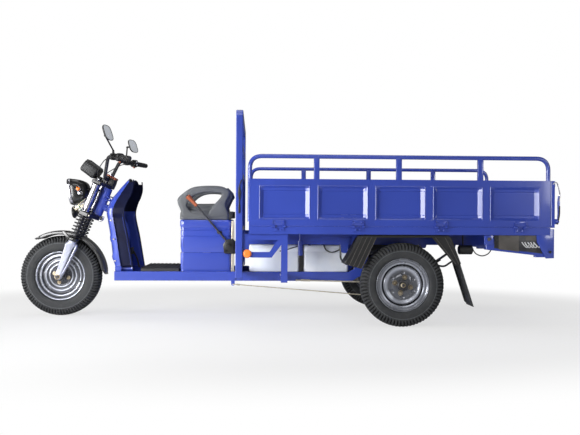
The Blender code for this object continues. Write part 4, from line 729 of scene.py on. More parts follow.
for side, name in sides:
    at = np.array(rearAt[name])
    piece(
        f"rear_tyre_tread_{name}", moved(tyreShape(*wheel["rearTyre"]), at), "tyre_" + name, f"rear_wheel_{name}",
        [f"rear_tyre_{name}"], 50,
    )
    rim = onSide(rimShape(rearSection, 144, (6, 0.076, 0.0125, 0.0065, 0.027)), side)
    piece(f"rear_rim_face_{name}", moved(rim, at), "rearRim", f"rear_wheel_{name}", [f"rear_rim_{name}"], 55)
    # four studs with nuts, dark discs under them as painted shadow round each nut, and the hub's collar and nut
    studs = []
    for spot in ringSpots(at, wheel["studCircle"], 4, -15, side * 0.0352):
        studs.append(hexHead(spot, (0, side, 0), 0.0165, 0.01))
        studs.append(rodShape(spot + (0, side * 0.009, 0), spot + (0, side * 0.015, 0), 0.0048, 14))
    piece(f"wheel_nuts_{name}", studs, "bolt", f"rear_wheel_{name}", soften=30)
    # painted shadow: a dark disc round each nut
    nutShadowDiscs = [
        rodShape(spot + (0, side * 0.03, 0), spot + (0, side * 0.0372, 0), 0.0125, 24, 0.001)
        for spot in ringSpots(at, wheel["studCircle"], 4, -15)
    ]
    piece(f"wheel_nut_shadow_discs_{name}", nutShadowDiscs, "steel", f"rear_wheel_{name}")
    collar = ringShape([(0.0185, 0.0405), (0.03, 0.0405), (0.0305, 0.0445), (0.027, 0.047), (0.0185, 0.047)], 48)
    piece(f"hub_collar_{name}", moved(collar, at, facing((0, side, 0))), "steel", f"rear_wheel_{name}")
    piece(
        f"hub_nut_{name}", hexHead(at + (0, side * 0.0486, 0), (0, side, 0), 0.028, 0.0096, False), "bolt", "rear_axle",
        soften=30,
    )
    spindle = rodShape(at + (0, side * 0.05, 0), at + (0, side * 0.0606, 0), 0.009, 20, 0.001)
    piece(f"spindle_end_{name}", spindle, "steel", "rear_axle")
    valveStem = rodShape(at + (-0.02, side * 0.03, -0.128), at + (-0.021, side * 0.046, -0.122), 0.0036, 12)
    piece(f"valve_{name}", valveStem, "rubber", f"rear_wheel_{name}")
print("wheels made")

# Fork
fork = {
    "rake": math.radians(22), "legY": 0.103,
    "springRadius": 0.0335, "wire": 0.0046, "turns": 7.5, "springLow": 0.2805, "springHigh": 0.4303,
}
forkAxes = leaned(fork["rake"])


def onFork(shape):
    # drawn upright over the axle as (ahead, across, along), then leaned back by the rake
    return moved(shape, wheel["frontAt"], forkAxes)


def forkSpot(x, y, along):
    return np.array(wheel["frontAt"]) + forkAxes @ np.array((x, y, along), float)


def loft(rings, steps=40, capped=True):
    # squared ellipses stacked along z: each ring is (x, y, height, half x, half y, power)
    rings = np.array(rings, float)
    angle = evenAngles(steps)[None]
    c, s = np.cos(angle), np.sin(angle)
    x0, y0, h, hx, hy, p = (rings[:, k:k + 1] for k in range(6))
    x, y = x0 + hx * squared(c, 2 / p), y0 + hy * squared(s, 2 / p)
    return grid(np.stack([x, y, h + 0 * angle], -1), False, True, capped, capped)


def coilLine(low, high, radius, turns, flat=0.5, steps=28):
    # the climb is even except for a flat half turn at each end
    t = np.linspace(0, turns, int(turns * steps))
    rise = np.clip(t - flat, 0, turns - 2 * flat) / (turns - 2 * flat)
    return np.stack([radius * np.cos(2 * np.pi * t), radius * np.sin(2 * np.pi * t), low + (high - low) * rise], 1)


for side, name in sides:
    y = side * fork["legY"]
    leg = loft([
        (0.0, y, -0.02, 0.012, 0.011, 3.0), (0.0, y, -0.016, 0.019, 0.016, 3.0), (0.002, y, 0.0, 0.024, 0.018, 3.2),
        (0.001, y, 0.018, 0.0225, 0.0175, 3.8), (-0.002, y, 0.035, 0.02, 0.016, 4.4),
        (-0.004, y, 0.09, 0.0215, 0.0165, 4.8), (-0.006, y, 0.15, 0.024, 0.0175, 4.8),
        (-0.007, y, 0.2, 0.027, 0.019, 4.4), (-0.007, y, 0.214, 0.031, 0.0215, 3.6),
        (-0.004, y, 0.224, 0.0335, 0.024, 3.0), (0.0, y, 0.24, 0.028, 0.0255, 2.3), (0.0, y, 0.25, 0.0262, 0.0262, 2.0),
        (0.0, y, 0.254, 0.024, 0.024, 2.0),
    ], 44)
    # the leg's front strip, rear rib and lug
    strip = loft([
        (0.018, y, 0.01, 0.004, 0.008, 2.4), (0.02, y, 0.02, 0.0085, 0.015, 2.4), (0.0285, y, 0.09, 0.007, 0.018, 2.4),
        (0.034, y, 0.17, 0.008, 0.019, 2.4), (0.037, y, 0.22, 0.0085, 0.019, 2.4), (0.034, y, 0.24, 0.007, 0.013, 2.2),
    ], 28)
    rib = [
        strip,
        slab(
            [(-0.016, 0.045), (-0.012, 0.045), (-0.017, 0.19), (-0.022, 0.19)], side * 0.12 - 0.0022,
            side * 0.12 + 0.0022, 0.001,
        ),
    ]
    boss = rodShape((0.02, y - 0.014, 0.226), (0.02, y + 0.014, 0.226), 0.009, 24, 0.002)
    piece(f"fork_leg_casting_{name}", onFork([leg, *rib, boss]), "alloy", "fork_slider", [f"fork_leg_{name}"], 45)
    # the spring's seat, the bare tube in it and the chrome cover above
    seatRing = ringShape([
        (0.0178, 0.252), (0.03, 0.252), (0.035, 0.256), (0.0355, 0.27), (0.034, 0.2745), (0.0305, 0.2762),
        (0.025, 0.2755), (0.0215, 0.279), (0.0178, 0.279),
    ], 48)
    piece(f"spring_seat_{name}", onFork(moved(seatRing, (0, y, 0))), "black", "fork_slider")
    piece(
        f"fork_tube_chrome_{name}",
        onFork(moved(turned([(0, 0.1), (0.0168, 0.1), (0.0168, 0.4345), (0, 0.4345)], 40), (0, y, 0))), "steel",
        "steering", [f"fork_tube_{name}"],
    )
    cover = ringShape([
        (0.018, 0.464), (0.0262, 0.464), (0.0268, 0.47), (0.0248, 0.476), (0.0245, 0.5), (0.0245, 0.63),
        (0.0248, 0.648), (0.0262, 0.654), (0.0262, 0.66), (0.018, 0.661),
    ], 56)
    piece(f"fork_cover_{name}", onFork(moved(cover, (0, y, 0))), "chrome", "steering", soften=50)
    cap = [domed([(0, 0.6842), (0.015, 0.6842), (0.0165, 0.687), (0.016, 0.69), (0, 0.6915)], 32),
           hexHead((0, 0, 0.6905), (0, 0, 1), 0.014, 0.006, False)]
    piece(f"fork_cap_{name}", onFork(moved(cap, (0, y, 0))), "chrome", "steering", soften=35)
    line = coilLine(fork["springLow"], fork["springHigh"], fork["springRadius"], fork["turns"])
    spring = piece(
        f"fork_coil_{name}", onFork(moved(tube(line, fork["wire"], 12), (0, y, 0))), "spring", None,
        [f"fork_spring_{name}"], 60,
    )
    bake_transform(spring)
    # nuts below, clamp bolts on the lower yoke
    axleNut = [hexHead(forkSpot(0, side * 0.1292, 0), (0, side, 0), 0.0195, 0.009),
               rodShape(forkSpot(0, side * 0.138, 0), forkSpot(0, side * 0.1408, 0), 0.0072, 16)]
    piece(f"front_axle_nut_{name}", axleNut, "bolt", "fork_slider", soften=30)
    pinch = [hexHead(forkSpot(0.0345, s * 0.02 + y, 0.449), forkAxes[:, 0], 0.011, 0.006) for s in (-1, 1)]
    piece(f"yoke_bolts_{name}", pinch, "zinc", "steering", soften=30)

yokeNut = [domed([(0, 0.6845), (0.023, 0.6845), (0.0235, 0.688), (0.019, 0.696), (0, 0.696)], 40),
           hexHead((0, 0, 0.695), (0, 0, 1), 0.03, 0.011)]
piece("steering_nut", onFork(moved(yokeNut, (0.066, 0, 0))), "chrome", "steering", soften=35)
clampBolts = [hexHead(forkSpot(0.0355 + dx, s * 0.048, 0.7322), forkAxes[:, 2], 0.008, 0.005, False)
              for s in (-1, 1) for dx in (-0.011, 0.011)]
piece("bar_clamp_bolts", clampBolts, "chrome", "steering", soften=30)
print("fork made")


# Controls
bar = {
    "radius": 0.0115, "end": (-0.931, -0.37, 1.03), "bend": (-1.097, -0.217, 1.055), "foot": (-1.1419, -0.105, 0.915),
    "gripLength": 0.125, "ribs": 26,
}
perch = {"at": (-1.0349, -0.27424, 1.04565)}
mirror = {
    "joint": (-1.08, -0.411, 1.168), "halfWide": 0.065, "halfTall": 0.053, "depth": 0.017, "turns": (-12, -18),
    "size": 0.94, "up": -18, "power": 3.2,
}

barWay = unit(np.array(bar["end"]) - np.array(bar["bend"]))
barFront = unit(np.cross(np.cross(barWay, (-0.676, -0.733, 0)), barWay))
handAxes = np.stack([barFront, np.cross(-barWay, barFront), -barWay], 1)


def onHand(shape, side):
    # drawn about the left grip's perch as (ahead, up, inwards)
    return onSide(moved(shape, perch["at"], handAxes), side)


half = [bar["end"], bar["bend"], bar["foot"]]
barLine = bent(half + [(x, -y, z) for x, y, z in reversed(half)], 0.036, 8)
piece("handlebar_tube", tube(barLine, bar["radius"], 24), "steel", "steering", ["handlebar"], 50)


def gripShape():
    # a sleeve with lengthwise ribs, a flange at the inner end and a rounded outer end
    length = bar["gripLength"]
    flangeSteps = [0, 0.0005, 0.003, 0.0035, 0.006, 0.01]
    u = np.concatenate([flangeSteps, np.linspace(0.014, length - 0.016, 26), np.linspace(length - 0.012, length, 6)])
    u = u[:, None]
    v = evenAngles(bar["ribs"] * 6)[None]
    flange = 0.0062 * (1 - smoothStep(u, 0.0035, 0.0055)) * smoothStep(u, -0.002, 0.0008)
    sleeve = smoothStep(u, 0.012, 0.016)
    ribs = 0.0009 * (0.5 + 0.5 * np.cos(v * bar["ribs"])) * sleeve * (1 - smoothStep(u, length - 0.022, length - 0.018))
    rings = 0.0007 * (np.cos(2 * np.pi * u / 0.012) > 0.75) * sleeve * (1 - smoothStep(u, length - 0.03, length - 0.02))
    end = np.sqrt(np.clip(1 - (np.clip(u - (length - 0.007), 0, None) / 0.007) ** 2, 0.03, 1))
    r = (0.0158 + flange + ribs + rings) * end
    return grid(np.stack([r * np.cos(v), r * np.sin(v), -(u + 0.0172) + 0 * v], -1), False, True, True, True)


def leverShape():
    # pivot, two bends and a ball at the tip; broad where the fingers pull
    line = smoothLine([
        (0.036, 0, 0), (0.046, 0, -0.018), (0.055, -0.001, -0.045), (0.058, -0.002, -0.09), (0.062, -0.001, -0.128),
        (0.065, 0, -0.15),
    ], 8)
    size = np.interp(np.linspace(0, 1, len(line)), (0, 0.15, 0.5, 0.92, 1), (0.0085, 0.0066, 0.0058, 0.0052, 0.0056))
    rings = ((-0.007, 0.0005), (-0.006, 0.0036), (-0.003, 0.0064), (0, 0.0071), (0.003, 0.0064), (0.007, 0.001))
    ball = moved(loft([(0, 0, up, radius, radius, 2) for up, radius in rings], 20), (0.065, 0, -0.15))
    hub = rodShape((0.036, -0.0054, 0), (0.036, 0.0054, 0), 0.0088, 24, 0.001)
    return [tube(line, size, 16, 0.72), ball, hub]


def mirrorTurned(turn):
    # the head's axes: leaned back, then turned about the upright
    a, b = math.radians(turn), math.radians(mirror["up"])
    turnZ = np.array([[math.cos(a), -math.sin(a), 0], [math.sin(a), math.cos(a), 0], [0, 0, 1]])
    return turnZ @ leaned(b) * mirror["size"]


def ovalRing(scale, x, steps=64):
    a = evenAngles(steps)
    c, s = np.cos(a), np.sin(a)
    y = mirror["halfWide"] * scale * squared(c, 2 / mirror["power"])
    z = mirror["halfTall"] * scale * squared(s, 2 / mirror["power"])
    return np.stack([np.full(steps, x), y, z], 1)


mirrorBack = [
    ovalRing(math.sin(t), -mirror["depth"] * math.cos(t) ** 0.8) for t in np.linspace(0.05, math.pi / 2 - 0.12, 10)
]
mirrorRim = [
    ovalRing(*one)
    for one in ((1, -0.002), (1, 0.0025), (0.985, 0.0038), (0.955, 0.0036), (0.94, 0.0022), (0.935, 0.0006))
]
mirrorShell = grid(np.stack(mirrorBack + mirrorRim), False, True, True, True)
mirrorGlass = grid(np.stack([
    ovalRing(*one) for one in ((0.925, 0.0002), (0.925, 0.0018), (0.9, 0.0024))
]), False, True, True, True)

for side, name in sides:
    grip = "grip_left" if side < 0 else "grip_right"
    piece(
        f"grip_sleeve_{name}", onHand(gripShape(), side), "rubber", "steering" if side < 0 else "throttle", [grip], 50
    )
    piece(
        f"brake_lever_blade_{name}", onHand(leverShape(), side), "black", f"brake_lever_{name}",
        [f"brake_lever_{name}"], 50,
    )
    # perch: clamp ring, two arms round the lever, its pin, two pods and the mirror's stem
    clampRing = ringShape([
        (0.0118, -0.016), (0.0165, -0.016), (0.0178, -0.012), (0.0178, 0.012), (0.0165, 0.0165), (0.0118, 0.0165),
    ], 40)
    arms = [
        slab([
            (0.008, -0.01), (0.036, -0.0095), (0.0445, -0.004), (0.0455, 0.004), (0.04, 0.0095), (0.008, 0.013),
        ], s * 0.0062, s * 0.0105, 0.001)
        for s in (-1, 1)
    ]
    pin = [
        rodShape((0.036, -0.0125, 0), (0.036, 0.0115, 0), 0.0032, 16),
        hexHead((0.036, 0.0105, 0), (0, 1, 0), 0.009, 0.004, False),
    ]
    pod = joined([
        loft([
            (-0.002, 0, start + up, half * size, (half + 0.001) * size, 3.5)
            for up, half in (
                (0, 0.02), (0.0018, 0.0225), (0.014, 0.0235), (0.0148, 0.0222), (0.0156, 0.0235), (0.028, 0.022),
                (0.0295, 0.019),
            )
        ], 44)
        for start, size in ((0.018, 0.92), (-0.0475, 1.1))
    ])
    base = np.array(perch["at"]) - barWay * 0.032 + (0, 0, 0.0195)
    joint = np.array(mirror["joint"])
    stemLine = bent([
        base - (0, 0, 0.006), base + (0, 0, 0.02), joint - unit(joint - base - (0, 0, 0.02)) * 0.0068,
    ], 0.012, 6)
    stemNut = [
        hexHead(base + (0, 0, 0.001), (0, 0, 1), 0.0135, 0.008),
        moved(turned([(0, 0), (0.0078, 0), (0.0066, 0.014), (0.0052, 0.016), (0, 0.016)], 20), base + (0, 0, 0.008)),
    ]
    controls = onHand([clampRing, *arms, *pin, pod], side) + onSide([*stemNut, tube(stemLine, 0.005, 16)], side)
    piece(f"switch_housing_{name}", controls, "plastic", "steering", [f"switch_pod_{name}"], 45)
    buttons = [
        softBox((-0.031, 0.006, -0.04), (-0.026, 0.014, -0.028), 0.0015),
        softBox((-0.031, -0.014, -0.042), (-0.026, -0.005, -0.034), 0.002),
    ]
    piece(f"switch_sliders_{name}", onHand(buttons, side), "white", "steering")
    red = rodShape((-0.004, -0.0245, -0.033), (-0.004, -0.0335, -0.033), 0.0075, 24, 0.0015)
    piece(f"horn_button_{name}", onHand(red, side), "orange", "steering")
    # mirror head on a ball joint
    mirrorAxes = mirrorTurned(mirror["turns"][side > 0])
    headAt = joint + (0.031 + side * 0.004, -0.049, 0.013)
    at = headAt * (1, -side, 1)
    socket = joint * (1, -side, 1)
    toHead = at + mirrorAxes @ np.array((-0.012, 0, 0))
    ballShape = moved(loft([
        (0, 0, math.sin(t) * 0.0078, math.cos(t) * 0.0078 + 1e-5, math.cos(t) * 0.0078 + 1e-5, 2)
        for t in np.linspace(-1.5, 1.5, 9)
    ], 20), socket)
    arm = tube(np.stack([socket, (socket + toHead) / 2 + (0, 0, 0.001), toHead]), [0.0062, 0.0055, 0.0085], 16)
    piece(
        f"mirror_shell_{name}", [moved(mirrorShell, at, mirrorAxes), ballShape, arm], "plastic", f"mirror_{name}",
        [f"mirror_{name}"], 50,
    )
    piece(f"mirror_pane_{name}", moved(mirrorGlass, at, mirrorAxes), "mirror", f"mirror_{name}")
cableLine = np.array([
    (-1.085, 0.292, 1.036), (-1.118, 0.262, 1.018), (-1.176, 0.15, 0.962), (-1.192, 0.07, 0.905),
    (-1.206, 0.046, 0.862),
])
piece("brake_cables", [cable(cableLine * (1, side, 1), 0.003) for side, name in sides], "rubber", "steering")
print("controls made")

# Headlight, instruments
lamp = {"up": 0.5605, "lean": -0.154, "power": 4.0, "bulb": 0.017}
lampFront = np.array(wheel["frontAt"])


def lampRings(rings, steps=72):
    # each ring: (x, z from the axle, half width, half height), leaning by the lamp's angle
    a = evenAngles(steps)
    c, s = np.cos(a), np.sin(a)
    cy, sz = squared(c, 2 / lamp["power"]), squared(s, 2 / lamp["power"])
    made = []
    for x, z, wide, tall in rings:
        up = tall * sz
        made.append(lampFront + np.stack([
            x + up * math.sin(lamp["lean"]), wide * cy, z + up * math.cos(lamp["lean"]),
        ], 1))
    return np.stack(made)


shellRings = [
    (0.07, 0.5605, 0.084, 0.077), (0.0625, 0.5605, 0.0865, 0.0795), (0.059, 0.5605, 0.0905, 0.0835),
    (0.06, 0.5605, 0.0935, 0.0865), (0.065, 0.5606, 0.095, 0.0878), (0.074, 0.561, 0.0952, 0.0878),
    (0.076, 0.5611, 0.094, 0.0866), (0.082, 0.5615, 0.095, 0.0872), (0.1, 0.5635, 0.0935, 0.085),
    (0.122, 0.566, 0.089, 0.079), (0.142, 0.5688, 0.081, 0.0705), (0.162, 0.571, 0.069, 0.059),
    (0.174, 0.5724, 0.056, 0.0475), (0.18, 0.573, 0.042, 0.0355), (0.1815, 0.5732, 0.03, 0.025),
]
rimRings = [
    (0.07, 0.5605, 0.084, 0.077), (0.06, 0.5605, 0.0862, 0.0792), (0.056, 0.5605, 0.0905, 0.0836),
    (0.0575, 0.5605, 0.095, 0.0882), (0.064, 0.5606, 0.0975, 0.0904), (0.076, 0.5611, 0.0975, 0.0902),
    (0.079, 0.5613, 0.0945, 0.0872), (0.079, 0.5613, 0.085, 0.078),
]
piece("headlight_rim", grid(lampRings(rimRings), True, True), "chrome", "steering", soften=50)
sideLamps = [
    moved(
        domed([(0, 0), (0.0125, 0), (0.0125, 0.01), (0.009, 0.016), (0, 0.0175)], 32), (-1.316, s * 0.089, 0.846),
        facing((-0.12, s, 0.1)),
    ) for s in (-1, 1)
]
piece("headlight_side_signals", sideLamps, "reflector", "steering")
sideRings = [
    moved(
        ringShape([(0.013, 0), (0.017, 0), (0.0175, 0.006), (0.013, 0.0085)], 32), (-1.316, s * 0.089, 0.846),
        facing((-0.12, s, 0.1)),
    ) for s in (-1, 1)
]
sideRings += [
    moved(
        softBox((-0.011, -0.016, 0), (0.011, 0.016, 0.009), 0.004), (-1.303, s * 0.0885, 0.818), facing((0.1, s, 0.05))
    ) for s in (-1, 1)
]
piece("headlight_side_rings", sideRings, "chrome", "steering")
inner = [(0.12, 0.564, 0.03, 0.026), (0.115, 0.5635, 0.05, 0.045), (0.098, 0.562, 0.072, 0.066)]
piece(
    "headlight_shell", grid(lampRings(inner + shellRings), False, True, True, True), "black", "steering", ["headlight"],
    45,
)
bowl = [
    (0.117, 0.5635, 0.006, 0.006), (0.1165, 0.5635, 0.02, 0.018), (0.111, 0.5632, 0.04, 0.036),
    (0.101, 0.5625, 0.056, 0.051), (0.086, 0.5615, 0.071, 0.065), (0.07, 0.5606, 0.0815, 0.0748),
]
piece("headlight_bowl", grid(lampRings(bowl), False, True), "chrome", "steering", thick=0.001, closed=False, soften=60)
lensRings = [
    (0.0452 + 0.0185 * (k / 9) ** 2.4, 0.5605, 0.0825 * k / 9 + 0.001, 0.0758 * k / 9 + 0.001) for k in range(10)
]
piece(
    "headlight_lens_dome", grid(lampRings(lensRings), False, True, True), "clear", "steering", thick=0.0022,
    closed=False, soften=60,
)


def bulb(y, z, size, long):
    profile = [
        (0, 0), (size * 0.55, 0), (size * 0.6, long * 0.3), (size, long * 0.55), (size * 0.95, long * 0.8),
        (size * 0.55, long * 0.97), (0, long),
    ]
    return moved(
        turned(softened(profile, 2, False), 28), lampFront + (0.108, y, lamp["up"] + z), facing((-1, 0, lamp["lean"]))
    )


piece("headlight_bulb", bulb(0, 0.01, 0.014, 0.036), "clear", "steering")
turnBulbs = [bulb(s * 0.048, -0.026, lamp["bulb"] * 0.62, 0.036) for s in (-1, 1)]
turnBulbs += [bulb(s * 0.048, 0.03, 0.009, 0.03) for s in (-1, 1)]
piece("turn_bulbs", turnBulbs, "amber", "steering")
lampArms = [
    bentTube([(-1.262, s * 0.045, 0.842), (-1.232, s * 0.06, 0.846), (-1.205, s * 0.088, 0.842)], 0.012, 0.006, 14)
    for s in (-1, 1)
]
lampArms.append(bentTube([(-1.268, 0, 0.842), (-1.235, 0, 0.846), (-1.2, 0, 0.85)], 0.012, 0.011, 16, 0.6))
piece("headlight_arms", lampArms, "black", "steering")
horn = [domed([
    (0, 0), (0.037, 0), (0.04, 0.004), (0.04, 0.012), (0.034, 0.018), (0.022, 0.024), (0.02, 0.036), (0, 0.036),
], 44)]
horn += [turned([(0.015, -0.0022), (0.0335, -0.0022), (0.0335, 0.0005), (0.015, 0.0005)], 44, True)]
hornAxes = facing((1, 0, 0.12))
piece("horn", moved(horn, (-1.366, -0.02, 0.69), hornAxes), "plastic", "steering")
hornArm = [
    bentTube([(-1.334, -0.02, 0.69), (-1.3, -0.02, 0.7), (-1.262, -0.03, 0.716)], 0.01, 0.005, 12, 0.6),
    slab([
        (-1.372, 0.712), (-1.33, 0.738), (-1.29, 0.748), (-1.262, 0.728), (-1.27, 0.716), (-1.3, 0.726), (-1.352, 0.7),
    ], -0.046, -0.043, 0.0008),
]
piece("horn_bracket", hornArm, "zinc", "steering")
loom = [
    ([
        (-1.27, -0.05, 0.8), (-1.3, -0.066, 0.762), (-1.318, -0.06, 0.735), (-1.3, -0.052, 0.705), (-1.255, -0.06, 0.7),
    ], "green"),
    ([(-1.262, -0.04, 0.806), (-1.312, -0.072, 0.775), (-1.345, -0.064, 0.742), (-1.352, -0.04, 0.712)], "rubber"),
    ([
        (-1.264, -0.03, 0.8), (-1.288, -0.07, 0.77), (-1.33, -0.068, 0.728), (-1.322, -0.045, 0.7),
        (-1.282, -0.05, 0.69),
    ], "zinc"),
    ([(-1.262, 0.04, 0.806), (-1.312, 0.062, 0.775), (-1.345, 0.054, 0.742), (-1.34, 0.01, 0.712)], "rubber"),
]
for k, (line, look) in enumerate(loom):
    piece(f"lamp_wire_{k}", cable(line, 0.0024), look, "steering")

case = {"at": (-1.247, 0, 0.978), "half": (0.058, 0.08, 0.04), "turn": math.radians(37)}
caseAxes = leaned(case["turn"])


def onCase(shape):
    return moved(shape, case["at"], caseAxes)


ax, ay, az = case["half"]
caseBody = walled(
    rounded((-ax, -ay), (ax, ay), 0.016),
    (-az, -az + 0.004, -az + 0.012, -0.004, 0.0, 0.004, az - 0.01, az - 0.003, az),
    (0.014, 0.006, 0.002, 0, 0.0016, 0, 0.001, 0.005, 0.011), "xy",
)
foot = softBox((-0.0275, -0.03, -0.0134), (0.0275, 0.03, 0.0134), 0.004)
piece(
    "instrument_housing", [onCase(caseBody), moved(foot, forkSpot(-0.0289, 0, 0.6976), forkAxes)], "plastic",
    "steering", ["instrument_case"], 40,
)
panels = [
    walled(
        rounded((-0.046, -0.029), (0.046, 0.026), 0.01), (s * ay * 0.985, s * (ay + 0.0012), s * (ay + 0.0022)),
        (0, 0.0008, 0.003), "xz",
    ) for s in (-1, 1)
]
piece("instrument_sides", onCase(panels), "greyPlastic", "steering")
dial = walled(
    rounded((-0.042, -0.062), (0.042, 0.062), 0.012), (az - 0.002, az + 0.0006, az + 0.0014), (0, 0, 0.0014), "xy"
)
piece("instrument_screen", onCase(dial), "screen", "steering")
hood = [
    bentTube([(-0.05, -0.068, az + 0.001), (-0.05, 0.068, az + 0.001)], 0.01, 0.0045, 12),
    bentTube([(-0.05, -0.07, az + 0.001), (0.046, -0.07, az + 0.001)], 0.01, 0.0035, 12),
    bentTube([(-0.05, 0.07, az + 0.001), (0.046, 0.07, az + 0.001)], 0.01, 0.0035, 12),
]
piece("instrument_hood", onCase(hood), "plastic", "steering")
keyBox = walled([(-1.158, 0.875), (-1.106, 0.846), (-1.09, 0.88), (-1.082, 0.908), (-1.136, 0.938), (-1.152, 0.925)],
                (-0.048, -0.046, -0.04, 0.04, 0.046, 0.048), (0.006, 0.002, 0, 0, 0.002, 0.006), "xz")
piece("key_box", keyBox, "plastic", "steering")
keyTop = slab([
    (-1.14, 0.939), (-1.082, 0.907), (-1.078, 0.911), (-1.08, 0.919), (-1.133, 0.948), (-1.14, 0.946),
], -0.046, 0.046, 0.0015)
piece("key_box_trim", keyTop, "orange", "steering")
keyLock = [
    moved(turned([
        (0, 0), (0.013, 0), (0.013, 0.007), (0.008, 0.009), (0, 0.009),
    ], 32), (-1.118, -0.012, 0.936), facing((0.42, 0, 0.9))),
    softBox((-1.124, -0.014, 0.94), (-1.114, -0.01, 0.962), 0.001),
]
piece("key_switch", keyLock, "chrome", "steering")
print("headlight and instruments made")

# Leg shield
shield = {
    "rows": [
        (0.318, -1.052, -0.926), (0.39, -1.067, -0.938), (0.53, -1.084, -0.962), (0.64, -1.103, -0.986),
        (0.7, -1.11, -0.99), (0.76, -1.09, -0.972), (0.8, -1.066, -0.952), (0.85, -1.026, -0.938),
        (0.905, -0.974, -0.938),
    ], "half": 0.25, "taper": 0.3, "taperFrom": 0.72,
    "section": [(-1, 1), (-1, 0.62), (-0.985, 0.32), (-0.9, 0.1), (-0.74, 0.01), (-0.4, -0.04), (0, -0.06)],
    "skin": 0.003, "liner": 0.0062,
}
shieldRows = smoothLine(shield["rows"], 7)
sectionHalf = softened(shield["section"], 2, False)
sectionLine = evenly(np.concatenate([sectionHalf, (sectionHalf * (-1, 1))[::-1][1:]]), 121)


def shieldSkin(inset, reachBack, relief):
    # rows of (z, front x, rear x) along, the section's (across, back) round; lobes and a notch shape the top edge
    z, front, rear = shieldRows[:, None, 0], shieldRows[:, None, 1], shieldRows[:, None, 2]
    across, back = sectionLine[None, :, 0], sectionLine[None, :, 1]
    half = shield["half"] - shield["taper"] * np.clip(z - shield["taperFrom"], 0, None) - inset
    side = np.abs(across)
    x = front + inset + (rear - reachBack - front - inset) * back
    lobe, notch = 0.01 * np.exp(-((side - 0.55) / 0.28) ** 2), 0.04 * np.exp(-(side / 0.16) ** 2)
    z2 = z + (lobe - notch - 0.018 * smoothStep(side, 0.85, 1.0)) * smoothStep(z, 0.8, 0.905)
    sunk = smoothStep(back, 0.38, 0.46) * (1 - smoothStep(back, 0.9, 0.96)) * smoothStep(side, 0.94, 0.98)
    y = across * half - np.sign(across) * 0.012 * sunk * smoothStep(z, 0.335, 0.352) * (1 - smoothStep(z, 0.655, 0.685))
    if relief:
        swage = np.exp(-((side - 0.62) / 0.045) ** 2) * smoothStep(z, 0.34, 0.4) * (1 - smoothStep(z, 0.78, 0.84))
        x = x - 0.006 * swage
        for low in (0.4, 0.52):
            x = x - 0.01 * np.exp(-(((z - low) / 0.022) ** 2 + ((side - 0.8) / 0.1) ** 2))
    return grid(np.stack([x, y, z2 + 0 * x], -1))


def shieldBack(centres):
    # how far back a face is: 0 at the shield's front edge, 1 at its rear edge
    front, rear = (np.interp(centres[:, 2], shieldRows[:, 0], shieldRows[:, k]) for k in (1, 2))
    return (centres[:, 0] - front) / (rear - front)


def shieldShadeBand(centres):
    # painted shade: navy behind the middle of each flank, blue in front of it
    return (shieldBack(centres) > 0.38) & (centres[:, 2] > 0.335)


def linerLitBand(centres):
    # painted light: blue where the light reaches the flank's fold seen from inside; the rest of the inside is navy
    # painted shade
    z = centres[:, 2]
    return (z < 0.7) & (np.abs(centres[:, 1]) > 0.2) & (shieldBack(centres) > 0.12 + 0.55 * (0.7 - z))


# the skin's rear part takes the navy painted shade
piece(
    "leg_shield_skin", shieldSkin(0.0, 0.0, True), ["blue", "liner"], "chassis", ["leg_shield"], 40,
    thick=shield["skin"], offset=-1.0, closed=False, pick=shieldShadeBand,
)
# the inside in navy painted shade, with its lit fold painted blue
piece(
    "leg_shield_inside", shieldSkin(shield["liner"], 0.004, False), ["liner", "blue"], "chassis", ["leg_shield_liner"],
    40, thick=shield["skin"], offset=-1.0, closed=False, pick=linerLitBand,
)
rimHalf = np.array([
    (rear - 0.001, -(shield["half"] - 0.003 - shield["taper"] * max(0, z - shield["taperFrom"])), z)
    for z, front, rear in shieldRows
])
# the rear edges in navy painted shade
piece(
    "leg_shield_edges", [onSide(tube(rimHalf, 0.0042, 12), side) for side, name in sides], "liner", "chassis",
)
shieldBolts = [
    roundHead((-0.982 + dx, s * 0.2505, z), (0, s, 0), 0.0055, 0.003) for s in (-1, 1)
    for dx, z in ((-0.062, 0.38), (-0.072, 0.52), (-0.09, 0.64))
]
piece("leg_shield_screws", shieldBolts, "zinc", "chassis")
shieldArms = [
    bentTube([(-1.15, s * 0.026, z0), (-1.128, s * 0.06, z0 + 0.004), (-1.098, s * 0.11, z1)], 0.02, 0.0042, 12)
    for s in (-1, 1) for z0, z1 in ((0.795, 0.775), (0.772, 0.762))
]
piece("leg_shield_arms", shieldArms, "blue", "chassis")
hook = [bentTube([
    (-1.196, -0.018, 0.672), (-1.2, -0.03, 0.65), (-1.186, -0.034, 0.634), (-1.166, -0.032, 0.642),
    (-1.164, -0.026, 0.664),
], 0.012, 0.0075, 16)]
piece("steering_lock", hook, "chrome", "chassis")
print("leg shield made")

# Front mudguard
guard = {"radius": 0.2935, "half": 0.06, "crown": 0.007, "from": 125, "to": 2, "lip": 0.019, "sheet": 0.003}


def mudguardSheet():
    # an arch about the axle: crowned across, its edges rolled down, a bead beside each edge
    angle = np.radians(np.linspace(guard["from"], guard["to"], 84))[:, None]
    v = np.linspace(-1, 1, 45)[None]
    end = np.minimum((angle[0] - angle) / math.radians(9), (angle - angle[-1]) / math.radians(9)).clip(0, 1)
    half = guard["half"] * (0.35 + 0.65 * np.sqrt(1 - (1 - end) ** 2))
    edge = smoothStep(np.abs(v), 0.88, 1.0)
    bead = 0.0022 * np.exp(-((np.abs(v) - 0.8) / 0.035) ** 2)
    r = guard["radius"] + guard["crown"] * (1 - v ** 2) - guard["lip"] * (
        0.15 + 0.85 * smoothStep(end, 0, 1)
    ) * edge ** 1.5 + bead
    y = half * squared(np.sin(v * np.pi / 2), 0.85)
    at = wheel["frontAt"]
    return grid(np.stack([at[0] + r * np.cos(angle), y + 0 * r, at[2] + r * np.sin(angle)], -1))


